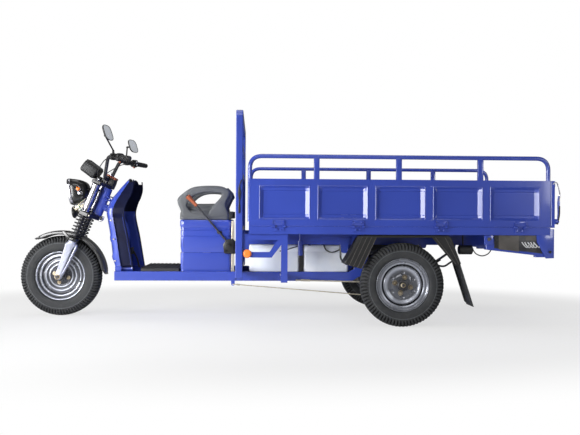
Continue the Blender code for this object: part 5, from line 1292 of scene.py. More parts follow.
piece(
    "front_mudguard_sheet", mudguardSheet(), "black", "fork_slider", ["front_mudguard"], 50, thick=guard["sheet"],
    closed=False,
)
trimAngle = np.radians(np.linspace(guard["from"] - 6, guard["to"] + 6, 70))
trim = np.stack([
    wheel["frontAt"][0] + 0.2925 * np.cos(trimAngle), np.full(70, -guard["half"] + 0.003),
    wheel["frontAt"][2] + 0.2925 * np.sin(trimAngle),
], 1)
piece(
    "front_mudguard_trim", [onSide(tube(trim, 0.0024, 10), side) for side, name in sides], "plate", "fork_slider",
)
stays = [
    slab(
        [(-1.43, 0.56), (-1.412, 0.568), (-1.345, 0.498), (-1.352, 0.478), (-1.372, 0.486)], side * 0.065 - 0.0012,
        side * 0.065 + 0.0012, 0.0006,
    ) for side, name in sides
]
stays += [hexHead((-1.358, side * 0.0665, 0.492), (0, side, 0), 0.011, 0.006) for side, name in sides]
piece("front_mudguard_stays", stays, "black", "fork_slider")

# Floor, seat box, seat
mat = {"low": (-0.88, -0.254, 0.2856), "high": (-0.632, 0.254, 0.336), "ribs": 9}
matX = np.linspace(mat["low"][0], mat["high"][0], 6 * mat["ribs"] * 2 + 1)[:, None]
matY = np.linspace(mat["low"][1], mat["high"][1], 33)[None]
matZ = mat["high"][2] - 0.003 + 0.003 * (
    np.cos((matX - mat["low"][0]) / 0.248 * 2 * np.pi * mat["ribs"]) > -0.2
) - 0.004 * smoothStep(np.abs(matY), 0.248, 0.254)
matTop = grid(np.stack([matX + 0 * matY, matY + 0 * matX, matZ], -1))
matBlock = walled(
    rounded((-0.88, -0.254), (-0.632, 0.254), 0.008), (0.2856, 0.288, 0.33, 0.3323), (0.002, 0, 0, 0.002), "xy"
)
piece("floor_mat_ribs", [matBlock, matTop], "mat", "chassis", ["floor_mat"], 30, closed=False)

seatBox = {
    "low": (-0.627, -0.25), "high": (-0.3, 0.25), "corner": 0.022,
    "wall": [
        (0.2855, 0.004), (0.29, 0.001), (0.3, 0), (0.434, 0), (0.4355, 0.0065), (0.466, 0.001), (0.471, 0), (0.536, 0),
        (0.5385, 0.003), (0.543, 0.003), (0.5455, 0), (0.577, 0), (0.5795, 0.0035), (0.586, 0.0035), (0.5885, 0),
        (0.6, 0), (0.605, -0.003), (0.612, -0.0035), (0.638, -0.0035), (0.6445, -0.001), (0.6475, 0.006),
    ],
}
wallLine = np.array(seatBox["wall"])
piece(
    "seat_box_shell",
    walled(rounded(seatBox["low"], seatBox["high"], seatBox["corner"], 10), wallLine[:, 0], wallLine[:, 1], "xy"),
    "blue", "chassis", ["seat_box"], 28,
)
lockPlate = [
    moved(
        loft([(0, 0, 0, 0.017, 0.0115, 2.2), (0, 0, 0.003, 0.0165, 0.011, 2.2), (0, 0, 0.0045, 0.013, 0.008, 2.2)], 36),
        (-0.375, -0.25, 0.566), facing((0, -1, 0), (1, 0, 0)),
    ),
    moved(turned([
        (0, 0), (0.0068, 0), (0.0062, 0.0028), (0, 0.0028),
    ], 24), (-0.375, -0.254, 0.566), facing((0, -1, 0))),
]
piece("seat_box_lock", lockPlate, "plastic", "chassis")
post = [slab(rounded((-0.2985, 0.3165), (-0.279, 0.64), 0.003, 3), -0.252, -0.246, 0.001)]
post += [roundHead((-0.289, -0.2522, z), (0, -1, 0), 0.0045, 0.0025) for z in (0.36, 0.47, 0.58, 0.62)]
piece("seat_box_strap", post, "zinc", "chassis")

seat = {
    "armY": (0.195, 0.238), "centre": (-0.495, 0.762),
    "outer": [
        (-0.628, 0.656), (-0.624, 0.7), (-0.648, 0.75), (-0.652, 0.785), (-0.61, 0.822), (-0.562, 0.856), (-0.5, 0.868),
        (-0.4, 0.87), (-0.345, 0.862), (-0.306, 0.832), (-0.318, 0.795), (-0.344, 0.742), (-0.318, 0.7),
        (-0.316, 0.656),
    ],
    "hole": [
        (-0.592, 0.75), (-0.545, 0.8), (-0.482, 0.827), (-0.385, 0.824), (-0.35, 0.812), (-0.445, 0.712), (-0.44, 0.69),
        (-0.552, 0.688), (-0.582, 0.722),
    ],
}


def byAngle(outline, centre, count=96):
    # how far the outline is from the centre, at even angles
    line = softened(outline, 2)
    line = evenly(np.concatenate([line, line[:1]]), 721)[:-1] - centre
    angle = np.unwrap(np.arctan2(line[:, 1], line[:, 0]))
    if angle[-1] < angle[0]:
        angle, line = angle[::-1], line[::-1]
    reach = np.hypot(line[:, 0], line[:, 1])
    want = evenAngles(count)
    return want, np.interp(want, angle - angle[0] + (angle[0] % (2 * np.pi)), reach, period=2 * np.pi)


def armShape(side):
    # a moulded loop: its section, a squared ellipse, runs between the hole's edge and the outer edge
    angle, outer = byAngle(seat["outer"], seat["centre"])
    angle, inner = byAngle(seat["hole"], seat["centre"])
    middle, half = ((outer + inner) / 2)[:, None], ((outer - inner) / 2)[:, None]
    s = evenAngles(28)[None]
    c, q = np.cos(s), np.sin(s)
    reach = middle + half * squared(c, 0.5)
    lowY, highY = seat["armY"]
    y = (lowY + highY) / 2 + (highY - lowY) / 2 * squared(q, 0.5)
    x, z = seat["centre"][0] + reach * np.cos(angle)[:, None], seat["centre"][1] + reach * np.sin(angle)[:, None]
    return grid(np.stack([x, side * y + 0 * x, z], -1), True, True)


seatBase = walled(
    rounded((-0.634, -0.236), (-0.312, 0.236), 0.026, 8), (0.6485, 0.65, 0.656, 0.69, 0.702, 0.708),
    (0.004, 0.001, 0, 0.002, 0.008, 0.018), "xy",
)
seatBack = walled(
    [
        (-0.352, 0.69), (-0.318, 0.69), (-0.327, 0.725), (-0.3, 0.785), (-0.288, 0.8), (-0.3, 0.834), (-0.322, 0.856),
        (-0.345, 0.85), (-0.35, 0.8), (-0.362, 0.74),
    ], (-0.204, -0.201, -0.194, 0.194, 0.201, 0.204), (0.009, 0.003, 0, 0, 0.003, 0.009), "xz",
)
piece("seat_shell", [armShape(side) for side, name in sides] + [seatBase, seatBack], "seat", "seat", ["seat"], 55)
pad = {
    "x": -0.484, "halfLong": 0.146, "halfWide": 0.193, "low": 0.708, "edge": 0.716, "rise": 0.04, "dish": 0.007,
    "seam": 0.0035,
}
cushionU = np.linspace(-1, 1, 41)
cx, cy = np.meshgrid(cushionU, cushionU, indexing="ij")


def padAt(u, v, z):
    # u and v run from -1 to 1 over the cushion
    return np.stack([pad["x"] + pad["halfLong"] * u, pad["halfWide"] * v, z + 0 * u], -1)


rim = np.clip(1 - np.maximum(np.abs(cx), np.abs(cy)) ** 5, 0, 1) ** 0.5
seam = pad["seam"] * (
    np.exp(-(np.abs(cy) - 0.62) ** 2 / 0.0016) + np.exp(-(cx + 0.3) ** 2 / 0.0012) * (np.abs(cy) < 0.62)
)
dish = pad["dish"] * np.exp(-((cx + 0.1) / 0.55) ** 2 - (cy / 0.5) ** 2)
topZ = pad["edge"] + pad["rise"] * rim - dish * rim - seam * rim
cushion = [grid(padAt(cx, cy, topZ)), grid(padAt(cx, cy, pad["low"])[::-1])]
ones = np.ones(41)
skirtLine = np.concatenate([
    np.stack(pair, 1) for pair in ((cushionU, -ones), (ones, cushionU), (cushionU[::-1], ones), (-ones, cushionU[::-1]))
])
skirt = grid(np.stack([padAt(skirtLine[:, 0], skirtLine[:, 1], z) for z in (pad["low"], pad["edge"])]), False, True)
cushionPad = piece("seat_cushion", [*cushion, skirt], "seat", "seat", soften=60)
padShape = walled(
    rounded((-0.184, 0.738), (0.184, 0.856), 0.03, 8), (-0.352, -0.356, -0.364, -0.368), (0, 0.002, 0.01, 0.024), "yz"
)
backPad = piece("seat_back_pad", padShape, "seat", "seat", soften=60)
hingeBlock = [softBox((-0.318, s * 0.19 - 0.035, 0.655), (-0.287, s * 0.19 + 0.035, 0.702), 0.003) for s in (-1, 1)]
piece("seat_bumpers", hingeBlock, "plastic", "seat")

# Parking lever, pedal, brake rods
lever = {"y": -0.273, "low": (-0.31, 0.49), "high": (-0.52, 0.736), "radius": 0.0062, "gripEnd": (-0.582, 0.801)}
a, b, c = (np.array((p[0], lever["y"], p[1])) for p in (lever["low"], lever["high"], lever["gripEnd"]))
gripLong = np.linalg.norm(c - b)
gripProfile = softened([
    (0, 0), (0.0085, 0), (0.012, 0.003), (0.0108, 0.012), (0.0112, 0.03), (0.0128, gripLong * 0.6),
    (0.0155, gripLong - 0.016), (0.0178, gripLong - 0.006), (0.016, gripLong - 0.001), (0, gripLong),
], 2, False)
piece(
    "park_lever_rod",
    [
        tube(np.stack([a, b + unit(b - a) * 0.01]), lever["radius"], 18),
        rodShape(a - (0, 0.008, 0), a + (0, 0.008, 0), 0.0125, 28),
    ], "steel", "park_lever", ["park_lever"],
)
piece("park_lever_grip", moved(turned(gripProfile, 36), b, facing(c - b)), "orange", "park_lever", soften=60)
piece(
    "park_lever_button",
    moved(domed([(0, 0), (0.0065, 0), (0.0065, 0.006), (0, 0.008)], 24), c - unit(c - b) * 0.001, facing(c - b)),
    "plastic", "park_lever",
)
sector = [slab([
    (-0.345, 0.436), (-0.262, 0.436), (-0.262, 0.505), (-0.29, 0.528), (-0.33, 0.52), (-0.35, 0.49),
], -0.2985, -0.2955, 0.001)]
sector += [
    hexHead((x, -0.2985, z), (0, -1, 0), 0.012, 0.006) for x, z in ((-0.33, 0.448), (-0.278, 0.448), (-0.31, 0.49))
]
piece("park_lever_plate", sector, "black", "chassis")

rodLine = bent([(-0.285, -0.3066, 0.237), (-0.285, -0.316, 0.237), (0.62, -0.316, 0.165)], 0.006)
rodEnd = [
    rodShape((0.56, -0.316, 0.1698), (0.592, -0.316, 0.1672), 0.0055, 6, 0.001),
    rodShape((-0.262, -0.316, 0.2352), (-0.24, -0.316, 0.2334), 0.0055, 6, 0.001),
]
piece("brake_rod_bar", [tube(rodLine, 0.0031, 14), *rodEnd], "zinc", "brake_rod", ["brake_rod"])
piece(
    "park_brake_rod",
    [
        bentTube([
            (0.12, -0.3, 0.262), (0.13, -0.312, 0.263), (0.54, -0.312, 0.254), (0.56, -0.312, 0.24),
        ], 0.01, 0.0045, 14),
        hexHead((0.128, -0.3125, 0.263), (-1, 0, 0), 0.012, 0.01, False),
        rodShape((0.15, -0.312, 0.263), (0.21, -0.312, 0.2615), 0.0068, 16),
    ], "zinc", "chassis",
)
pedalBars = [
    softBox((-1.0062, 0.112, z - 0.0028), (-1.0035, 0.188, z + 0.0028), 0.0012) for z in np.linspace(0.411, 0.445, 5)
]
pedalBody = [softBox((-1.004, 0.112, 0.404), (-0.992, 0.188, 0.452), 0.004)] + pedalBars
piece("brake_pedal_pad", pedalBody, "rubber", "brake_pedal")
pedalArm = [
    bentTube([(-0.993, 0.15, 0.428), (-0.965, 0.15, 0.38), (-0.945, 0.15, 0.3)], 0.03, 0.0065, 16, 0.7),
    rodShape((-0.945, 0.132, 0.3), (-0.945, 0.168, 0.3), 0.011, 28),
]
piece("brake_pedal_arm", pedalArm, "black", "brake_pedal", ["brake_pedal"])
print("seat and floor made")

# Cargo bed
bed = {
    "x": (-0.183, 1.651), "y": 0.635, "low": 0.6123, "top": 0.898, "fold": 0.025, "sheet": 0.0028, "panelFirst": -0.117,
    "panelPitch": 0.35, "panelLong": 0.295, "panels": 5, "panelZ": (0.657, 0.855), "railRadius": 0.013,
    "railTop": 1.034, "railY": 0.62, "railEnds": (-0.178, 1.641), "railBend": 0.075, "posts": (0.223, 0.722, 1.221),
    "hinges": (-0.005, 0.472, 0.979, 1.463), "gateX": 1.6785, "gateY": 0.633,
}
stepAcross = [(-0.004, 0), (-0.0022, -0.0016), (0, 0), (0.0215, 0.0185), (0.025, 0.0185)]
stepUp = [(-0.004, 0), (-0.0022, -0.0016), (0, 0), (0.012, 0.013), (0.026, 0.0135), (0.0285, 0.0185), (0.033, 0.0185)]


def pressedSheet(long, tall, panels, panelHeights):
    # (along, inward, up): every panel sinks in two steps, the least of its four edges deciding; all four sides fold in
    def lines(total, edges, steps):
        parts = [np.linspace(0, total, 40)]
        parts += [[low + d for d, _ in steps] + [high - d for d, _ in steps] for low, high in edges]
        return np.unique(np.round(np.clip(np.concatenate(parts), 0, total), 5))
    a, u = lines(long, panels, stepAcross), lines(tall, [panelHeights], stepUp)
    inside = np.max([np.minimum(a - low, high - a) for low, high in panels], 0)
    insideUp = np.minimum(u - panelHeights[0], panelHeights[1] - u)
    across = np.interp(inside, *np.array(stepAcross).T)[:, None]
    upward = np.interp(insideUp, *np.array(stepUp).T)[None]
    sink = np.where(
        (across < 0) & (upward > 0), across, np.where((upward < 0) & (across > 0), upward, np.minimum(across, upward))
    )
    sink = np.where((inside[:, None] < -0.004) | (insideUp[None] < -0.004), 0, sink)
    a, u = np.concatenate([a[:1], a, a[-1:]]), np.concatenate([u[:1], u, u[-1:]])
    sink = np.pad(sink, 1, constant_values=bed["fold"])
    return np.stack([a[:, None] + 0 * sink, sink, u[None] + 0 * sink], -1)


starts = [bed["panelFirst"] - bed["x"][0] + bed["panelPitch"] * k for k in range(bed["panels"])]
panels = [(start, start + bed["panelLong"]) for start in starts]
panelHeights = tuple(z - bed["low"] for z in bed["panelZ"])
boardSheet = pressedSheet(bed["x"][1] - bed["x"][0], bed["top"] - bed["low"], panels, panelHeights)
boardSheet = boardSheet + (bed["x"][0], -bed["y"], bed["low"])
for side, name in sides:
    body = f"side_board_{name}"
    piece(
        f"side_board_sheet_{name}", onSide(grid(boardSheet), side), "blue", body, [f"side_board_{name}"], 25,
        thick=bed["sheet"], offset=-1.0, closed=False,
    )
    y, ends = -bed["railY"], bed["railEnds"]
    railLine = bent([
        (ends[0], y, 0.64), (ends[0], y, bed["railTop"]), (ends[1], y, bed["railTop"]), (ends[1], y, 0.64),
    ], bed["railBend"], 12)
    rail = [tube(railLine, bed["railRadius"], 24)]
    rail += [
        softBox((x - 0.017, y - 0.0115, bed["top"] - 0.004), (x + 0.017, y + 0.0115, bed["railTop"] - 0.004), 0.003)
        for x in bed["posts"]
    ]
    rail.append(tube([(-0.18, -0.6365, 0.615), (1.648, -0.6365, 0.615)], 0.0018, 8))
    piece(f"side_rail_{name}", onSide(rail, side), "blue", body, soften=45)
    # each hinge: a plate on the board, two knuckles with tabs, bolts above and below
    leaves, bolts, lowBolts = [], [], []
    for x in bed["hinges"]:
        leaves.append(slab(rounded((x - 0.035, 0.6195), (x + 0.035, 0.65), 0.004, 3), -0.64, -0.6345, 0.001))
        leaves += [
            rodShape((x + s * 0.0295, -0.645, 0.612), (x + s * 0.042, -0.645, 0.612), 0.0062, 18) for s in (-1, 1)
        ]
        for tab in (x - 0.0345, x + 0.0345):
            leaves.append(slab(rounded((tab - 0.0015, 0.612), (tab + 0.0015, 0.65), 0.001, 2), -0.6445, -0.639, 0.0005))
        bolts += [roundHead((x + dx, -0.64, 0.636), (0, -1, 0), 0.0052, 0.003) for dx in (-0.022, 0.022)]
        lowBolts += [hexHead((x + dx, -0.64, 0.594), (0, -1, 0), 0.0105, 0.0055) for dx in (-0.014, 0.014)]
    piece(f"side_board_hinges_{name}", onSide(leaves + bolts, side), "blue", body, soften=35)
    piece(f"hinge_bolts_{name}", onSide(lowBolts, side), "blue", "chassis", soften=30)

gatePanels = [(0.05 + 0.3975 * k, 0.05 + 0.3975 * k + 0.371) for k in range(3)]
gateSheet = pressedSheet(2 * bed["gateY"], bed["top"] - bed["low"], gatePanels, panelHeights)
gateSheet = np.stack([
    bed["gateX"] - gateSheet[..., 1], gateSheet[..., 0] - bed["gateY"], gateSheet[..., 2] + bed["low"],
], -1)
piece(
    "tailgate_sheet", grid(gateSheet), "blue", "tailgate", ["tailgate"], 25, thick=bed["sheet"], offset=-1.0,
    closed=False,
)
gateHinges = []
for y in (-0.42, 0, 0.42):
    gateHinges.append(softBox((1.678, y - 0.035, 0.6195), (1.6835, y + 0.035, 0.65), 0.001))
    gateHinges += [rodShape((1.687, y + s * 0.03, 0.612), (1.687, y + s * 0.06, 0.612), 0.0072, 18) for s in (-1, 1)]
    gateHinges += [roundHead((1.6835, y + dy, 0.636), (1, 0, 0), 0.0052, 0.003) for dy in (-0.022, 0.022)]
gateHinges += [softBox((1.6775, s * 0.618, 0.634), (1.7, s * 0.6365, 0.666), 0.0015) for s in (-1, 1)]
gateHinges += [softBox((1.67, s * 0.61, 0.862), (1.68, s * 0.634, 0.8975), 0.0015) for s in (-1, 1)]
piece("tailgate_fittings", gateHinges, "blue", "tailgate", soften=35)
for side, name in sides:
    # corner latch: wire loop, arm and handle; in front the catch at the guard's edge
    loop = [
        cable([
            (1.662, y, 0.878), (1.676, y, 0.889), (1.69, y, 0.88), (1.7055, y, 0.82), (1.704, y, 0.795),
            (1.697, y, 0.776),
        ], 0.0022)
        for y in (-0.6368, -0.644)
    ]
    loop.append(tube([(1.662, -0.6368, 0.878), (1.662, -0.644, 0.878)], 0.0022, 10))
    latchArm = [
        slab([
            (1.688, 0.64), (1.698, 0.64), (1.703, 0.7), (1.707, 0.76), (1.7055, 0.806), (1.694, 0.806), (1.69, 0.765),
            (1.692, 0.7),
        ], -0.6425, -0.638, 0.001),
        hexHead((1.692, -0.6425, 0.65), (0, -1, 0), 0.011, 0.005),
    ]
    piece(f"latch_arm_{name}", onSide(latchArm, side), "blue", f"latch_{name}", [f"latch_{name}"], 35)
    piece(f"latch_wire_{name}", onSide(loop, side), "chrome", f"latch_{name}")
    handle = cable([
        (1.7035, -0.6405, 0.745), (1.703, -0.6405, 0.7), (1.698, -0.6405, 0.664), (1.69, -0.6405, 0.634),
    ], 0.0052, 14, 0.8)
    piece(f"latch_handle_{name}", onSide(handle, side), "plastic", f"latch_{name}")
    catch = [
        cable([
            (-0.226, -0.642, 0.89), (-0.236, -0.644, 0.868), (-0.243, -0.643, 0.835), (-0.232, -0.643, 0.81),
        ], 0.0034, 12),
        slab([
            (-0.247, 0.845), (-0.238, 0.848), (-0.23, 0.815), (-0.234, 0.77), (-0.244, 0.77), (-0.249, 0.815),
        ], -0.644, -0.6385, 0.001),
        softBox((-0.246, -0.6435, 0.69), (-0.235, -0.6365, 0.742), 0.003),
        tube([(-0.241, -0.64, 0.772), (-0.2405, -0.64, 0.738)], 0.004, 12),
    ]
    piece(f"guard_catch_{name}", onSide(catch, side), "plastic", "chassis")

# Rear mudguards, battery, reflectors
arch = {
    "line": [(0.397, 0.386), (0.497, 0.557), (1.036, 0.559), (1.102, 0.388)], "y": (0.45, 0.62), "sheet": 0.0035,
    "ribs": 4,
}


def archSheet():
    # the outline bent at its corners, ribbed across, with a lip turned in along the outer edge
    line = evenly(bent([(x, 0, z) for x, z in arch["line"]], 0.028, 8), 90)
    way = unit(np.gradient(line, axis=0))
    normal = np.stack([-way[:, 2], 0 * way[:, 0], way[:, 0]], 1)
    v = np.linspace(0, 1, 61)
    low, high = arch["y"]
    y = -(low + (high - low) * np.clip(v * 1.06, 0, 1))
    ribs = 0.003 * smoothStep(np.cos(v * 1.06 * 2 * np.pi * arch["ribs"]), 0.55, 0.9) * (v < 0.94)
    drop = -0.01 * smoothStep(v, 0.945, 1.0)
    relief = (ribs + drop)[None, :, None] * normal[:, None]
    return grid(np.stack([line[:, :1] + 0 * y, y + 0 * line[:, :1], line[:, 2:] + 0 * y], -1) + relief)


for side, name in sides:
    piece(
        f"rear_mudguard_{name}", onSide(archSheet(), side), "plastic", "chassis", [f"mudguard_{name}"], 45,
        thick=arch["sheet"], closed=False,
    )
    # end plates outside the sheet, ribbed like it
    skirts = [slab([(0.474, 0.556), (0.59, 0.556), (0.497, 0.357), (0.396, 0.386)], -0.6205, -0.6175, 0.0008),
              slab([(0.921, 0.556), (1.034, 0.556), (1.101, 0.386), (1.072, 0.38)], -0.6205, -0.6175, 0.0008)]
    ridges = [
        tube([(0.474 + 0.029 * k, -0.6205, 0.553), (0.398 + 0.025 * k, -0.6205, 0.384 - 0.0065 * k)], 0.0015, 8)
        for k in range(1, 5)
    ]
    ridges += [tube([(a, -0.6205, 0.553), (b, -0.6205, 0.39)], 0.0015, 8) for a, b in ((0.945, 1.074), (1.005, 1.092))]
    piece(f"rear_mudguard_skirts_{name}", onSide(skirts, side), "plastic", "chassis")
    piece(f"rear_mudguard_ridges_{name}", onSide(ridges, side), "plate", "chassis")
    # mud flap behind the wheel, with turned edges and three bolts
    flap = slab([(1.0965, 0.398), (1.101, 0.398), (1.189, 0.128), (1.1848, 0.128)], -0.612, -0.462, 0.0008)
    lip = [
        slab([(1.088, 0.398), (1.101, 0.398), (1.189, 0.128), (1.17, 0.148)], y - 0.0016, y + 0.0016, 0.0006)
        for y in (-0.6105, -0.4635)
    ]
    flapBolts = [hexHead((1.1035, y, 0.384), (0.95, 0, 0.31), 0.011, 0.005) for y in (-0.58, -0.537, -0.494)]
    piece(f"mud_flap_{name}", onSide([flap, *lip], side), "greyPlastic", "chassis")
    piece(f"mud_flap_bolts_{name}", onSide(flapBolts, side), "zinc", "chassis", soften=30)
    # two stays towards the frame
    innerStay = [bentTube([(0.405, -0.452, 0.392), (0.392, -0.425, 0.41), (0.392, -0.415, 0.505)], 0.02, 0.006, 14),
                 bentTube([(1.094, -0.452, 0.396), (1.05, -0.43, 0.36), (0.99, -0.425, 0.372)], 0.02, 0.006, 14)]
    piece(f"mudguard_stays_{name}", onSide(innerStay, side), "black", "chassis")
    # round reflector low beside the bed's front end
    disc = moved(domed([
        (0, 0), (0.0262, 0), (0.0262, 0.009), (0.0225, 0.0155), (0.012, 0.018), (0, 0.0182),
    ], 48), (-0.192, -0.6155, 0.4475), facing((0, -1, 0)))
    piece(f"side_reflector_{name}", onSide(disc, side), "reflector", "chassis")
    # tail lamp: red lens outside, amber inside
    lampBody = softBox((1.59, -0.588, 0.486), (1.652, -0.43, 0.556), 0.008)
    piece(f"tail_lamp_{name}", onSide(lampBody, side), "plastic", "chassis")
    redLens = softBox((1.65, -0.584, 0.49), (1.664, -0.508, 0.552), 0.005)
    amberLens = softBox((1.65, -0.506, 0.49), (1.664, -0.434, 0.552), 0.005)
    piece(f"tail_lens_{name}", onSide(redLens, side), "red", "chassis")
    piece(f"tail_signal_{name}", onSide(amberLens, side), "reflector", "chassis")
    # bracket below the bed's end: plates, a thin dark sheet of painted shade, a corner post and wires
    plate = [
        slab([(1.336, 0.565), (1.336, 0.48), (1.46, 0.467), (1.46, 0.565)], -0.6252, -0.6222, 0.0006),
        slab([(1.5, 0.565), (1.5, 0.535), (1.57, 0.535), (1.57, 0.565)], -0.6252, -0.6222, 0.0006),
        hexHead((1.275, -0.6285, 0.541), (0, -1, 0), 0.012, 0.006),
        hexHead((1.398, -0.6252, 0.557), (0, -1, 0), 0.01, 0.005),
    ]
    # painted shade: a thin dark sheet and two bars in the shaded space under the bed's end
    shade = [
        slab([(1.308, 0.5655), (1.308, 0.487), (1.606, 0.455), (1.606, 0.5655)], -0.6232, -0.6222, 0.0002),
        tube([(1.306, -0.625, 0.556), (1.334, -0.625, 0.5)], 0.0035, 8),
        tube([(1.306, -0.625, 0.52), (1.334, -0.625, 0.54)], 0.003, 8),
    ]
    piece(f"tail_shade_{name}", onSide(shade, side), "steel", "chassis")
    post = [
        slab([
            (1.566, 0.604), (1.6765, 0.604), (1.6765, 0.427), (1.626, 0.425), (1.601, 0.47), (1.57, 0.524),
        ], -0.6335, -0.6222, 0.004),
        softBox((1.246, -0.6285, 0.508), (1.302, -0.6222, 0.564), 0.002),
    ]
    piece(f"tail_post_{name}", onSide(post, side), "blue", "chassis", soften=35)
    piece(f"tail_plate_{name}", onSide(plate, side), "plate", "chassis")
    wiresAt = [
        smoothLine([
            (1.478 + 0.018 * k, -0.625, 0.524), (1.49 + 0.019 * k, -0.632, 0.506 - 0.006 * (k % 2)),
            (1.508 + 0.019 * k, -0.63, 0.492), (1.522 + 0.016 * k, -0.625, 0.506 + 0.008 * (k % 3)),
        ], 6)
        for k in range(5)
    ]
    piece(f"tail_wires_{name}", [onSide(tube(one, 0.0034, 8), side) for one in wiresAt], "white", "chassis")
    bolt = [rodShape((1.648, -0.638, 0.466), (1.648, -0.644, 0.466), 0.0085, 20, 0.001)]
    piece(f"tail_bolt_{name}", onSide(bolt, side), "plastic", "chassis", soften=30)
canShape = [
    rodShape((1.122, -0.5, 0.471), (1.207, -0.5, 0.471), 0.029, 36, 0.004),
    rodShape((1.207, -0.5, 0.471), (1.214, -0.5, 0.471), 0.012, 20),
]
piece("flasher_can", canShape, "plastic", "chassis")
piece(
    "tail_wire_loop",
    [
        cable([
            (1.214, -0.5, 0.47), (1.232, -0.508, 0.446), (1.268, -0.512, 0.434), (1.306, -0.512, 0.448),
            (1.33, -0.508, 0.482), (1.338, -0.505, 0.52), (1.338, -0.505, 0.56),
        ], 0.0035),
        tube([(1.15, -0.5, 0.498), (1.15, -0.495, 0.566)], 0.004, 10),
    ], "rubber", "chassis",
)

battery = {"x": (-0.183, 0.458), "y": 0.299, "strap": (0.14, 0.166)}
# the case stands in two halves, before and behind its strap
cases = []
for x0, x1 in ((battery["x"][0], battery["strap"][0] - 0.001), (battery["strap"][1] + 0.001, battery["x"][1])):
    cases.append(walled(
        rounded((x0, -battery["y"]), (x1, battery["y"]), 0.016, 6),
        (0.3166, 0.32, 0.332, 0.44, 0.4445, 0.449, 0.4535, 0.48, 0.487, 0.4895),
        (0.006, 0.002, 0, 0, 0.0025, 0.0025, 0, 0.001, 0.005, 0.012), "xy",
    ))
piece("battery_cases", cases, "battery", "chassis", ["battery_box"], 40)
strapShape = [softBox(
    (battery["strap"][0], -battery["y"] - 0.001, 0.3166), (battery["strap"][1], battery["y"] + 0.001, 0.4915), 0.003
)]
strapShape += [
    cable([
        (0.298, -0.28, 0.49), (0.299, -0.306, 0.484), (0.312, -0.31, 0.458), (0.347, -0.311, 0.443),
        (0.391, -0.31, 0.456), (0.424, -0.306, 0.482), (0.428, -0.28, 0.49),
    ], 0.0042, 12),
    softBox((0.284, -0.29, 0.484), (0.436, -0.262, 0.496), 0.003),
    softBox((0.196, -0.296, 0.486), (0.214, -0.27, 0.494), 0.002),
]
piece("battery_strap", strapShape, "plastic", "chassis")
rodAt = [
    tube([(0.136, -0.46, 0.566), (0.136, -0.46, 0.52)], 0.006, 14),
    rodShape((0.136, -0.46, 0.522), (0.138, -0.46, 0.43), 0.015, 24),
]
piece("bed_lock_rod", rodAt, "blue", "chassis")
piece(
    "bed_lock_lever", bentTube([(0.12, -0.46, 0.487), (0.06, -0.47, 0.468), (0.008, -0.48, 0.457)], 0.02, 0.0036, 10),
    "rubber", "chassis",
)
print("bed made")

# Rear axle, motor, springs
axle = {"x": 0.756, "z": 0.2575, "motorX": 0.626, "motorY": (0.0603, 0.25), "motorR": 0.068}
lowY, highY = axle["motorY"]
fins = [(0, 0), (0.052, 0), (0.06, 0.003), (axle["motorR"], 0.01)]
for k in range(13):
    at = 0.014 + 0.0115 * k
    fins += [
        (axle["motorR"], at), (axle["motorR"], at + 0.005), (axle["motorR"] - 0.007, at + 0.0055),
        (axle["motorR"] - 0.007, at + 0.011),
    ]
fins += [(axle["motorR"], 0.166), (axle["motorR"], 0.18), (0.058, 0.1875), (0.02, 0.1897), (0, 0.1897)]
motorAxes = facing((0, 1, 0))  # the profile's height runs to the right
motor = [moved(turned(fins, 64), (axle["motorX"], lowY, axle["z"]), motorAxes)]
motor += [
    rodShape(spot + (0, lowY + 0.004, 0), spot + (0, highY - 0.004, 0), 0.004, 12)
    for spot in ringSpots((axle["motorX"], 0, axle["z"]), 0.058, 6)
]
piece("drive_motor_body", motor, "greyPlastic", "rear_axle", ["drive_motor"], 40)
gearBolts = [
    hexHead(spot, (0, s, 0), 0.013, 0.006)
    for s in (-1, 1) for spot in ringSpots((axle["x"], 0, axle["z"]), 0.078, 8, 0, s * 0.0595)
]
piece("gear_case_bolts", gearBolts, "bolt", "rear_axle", soften=30)

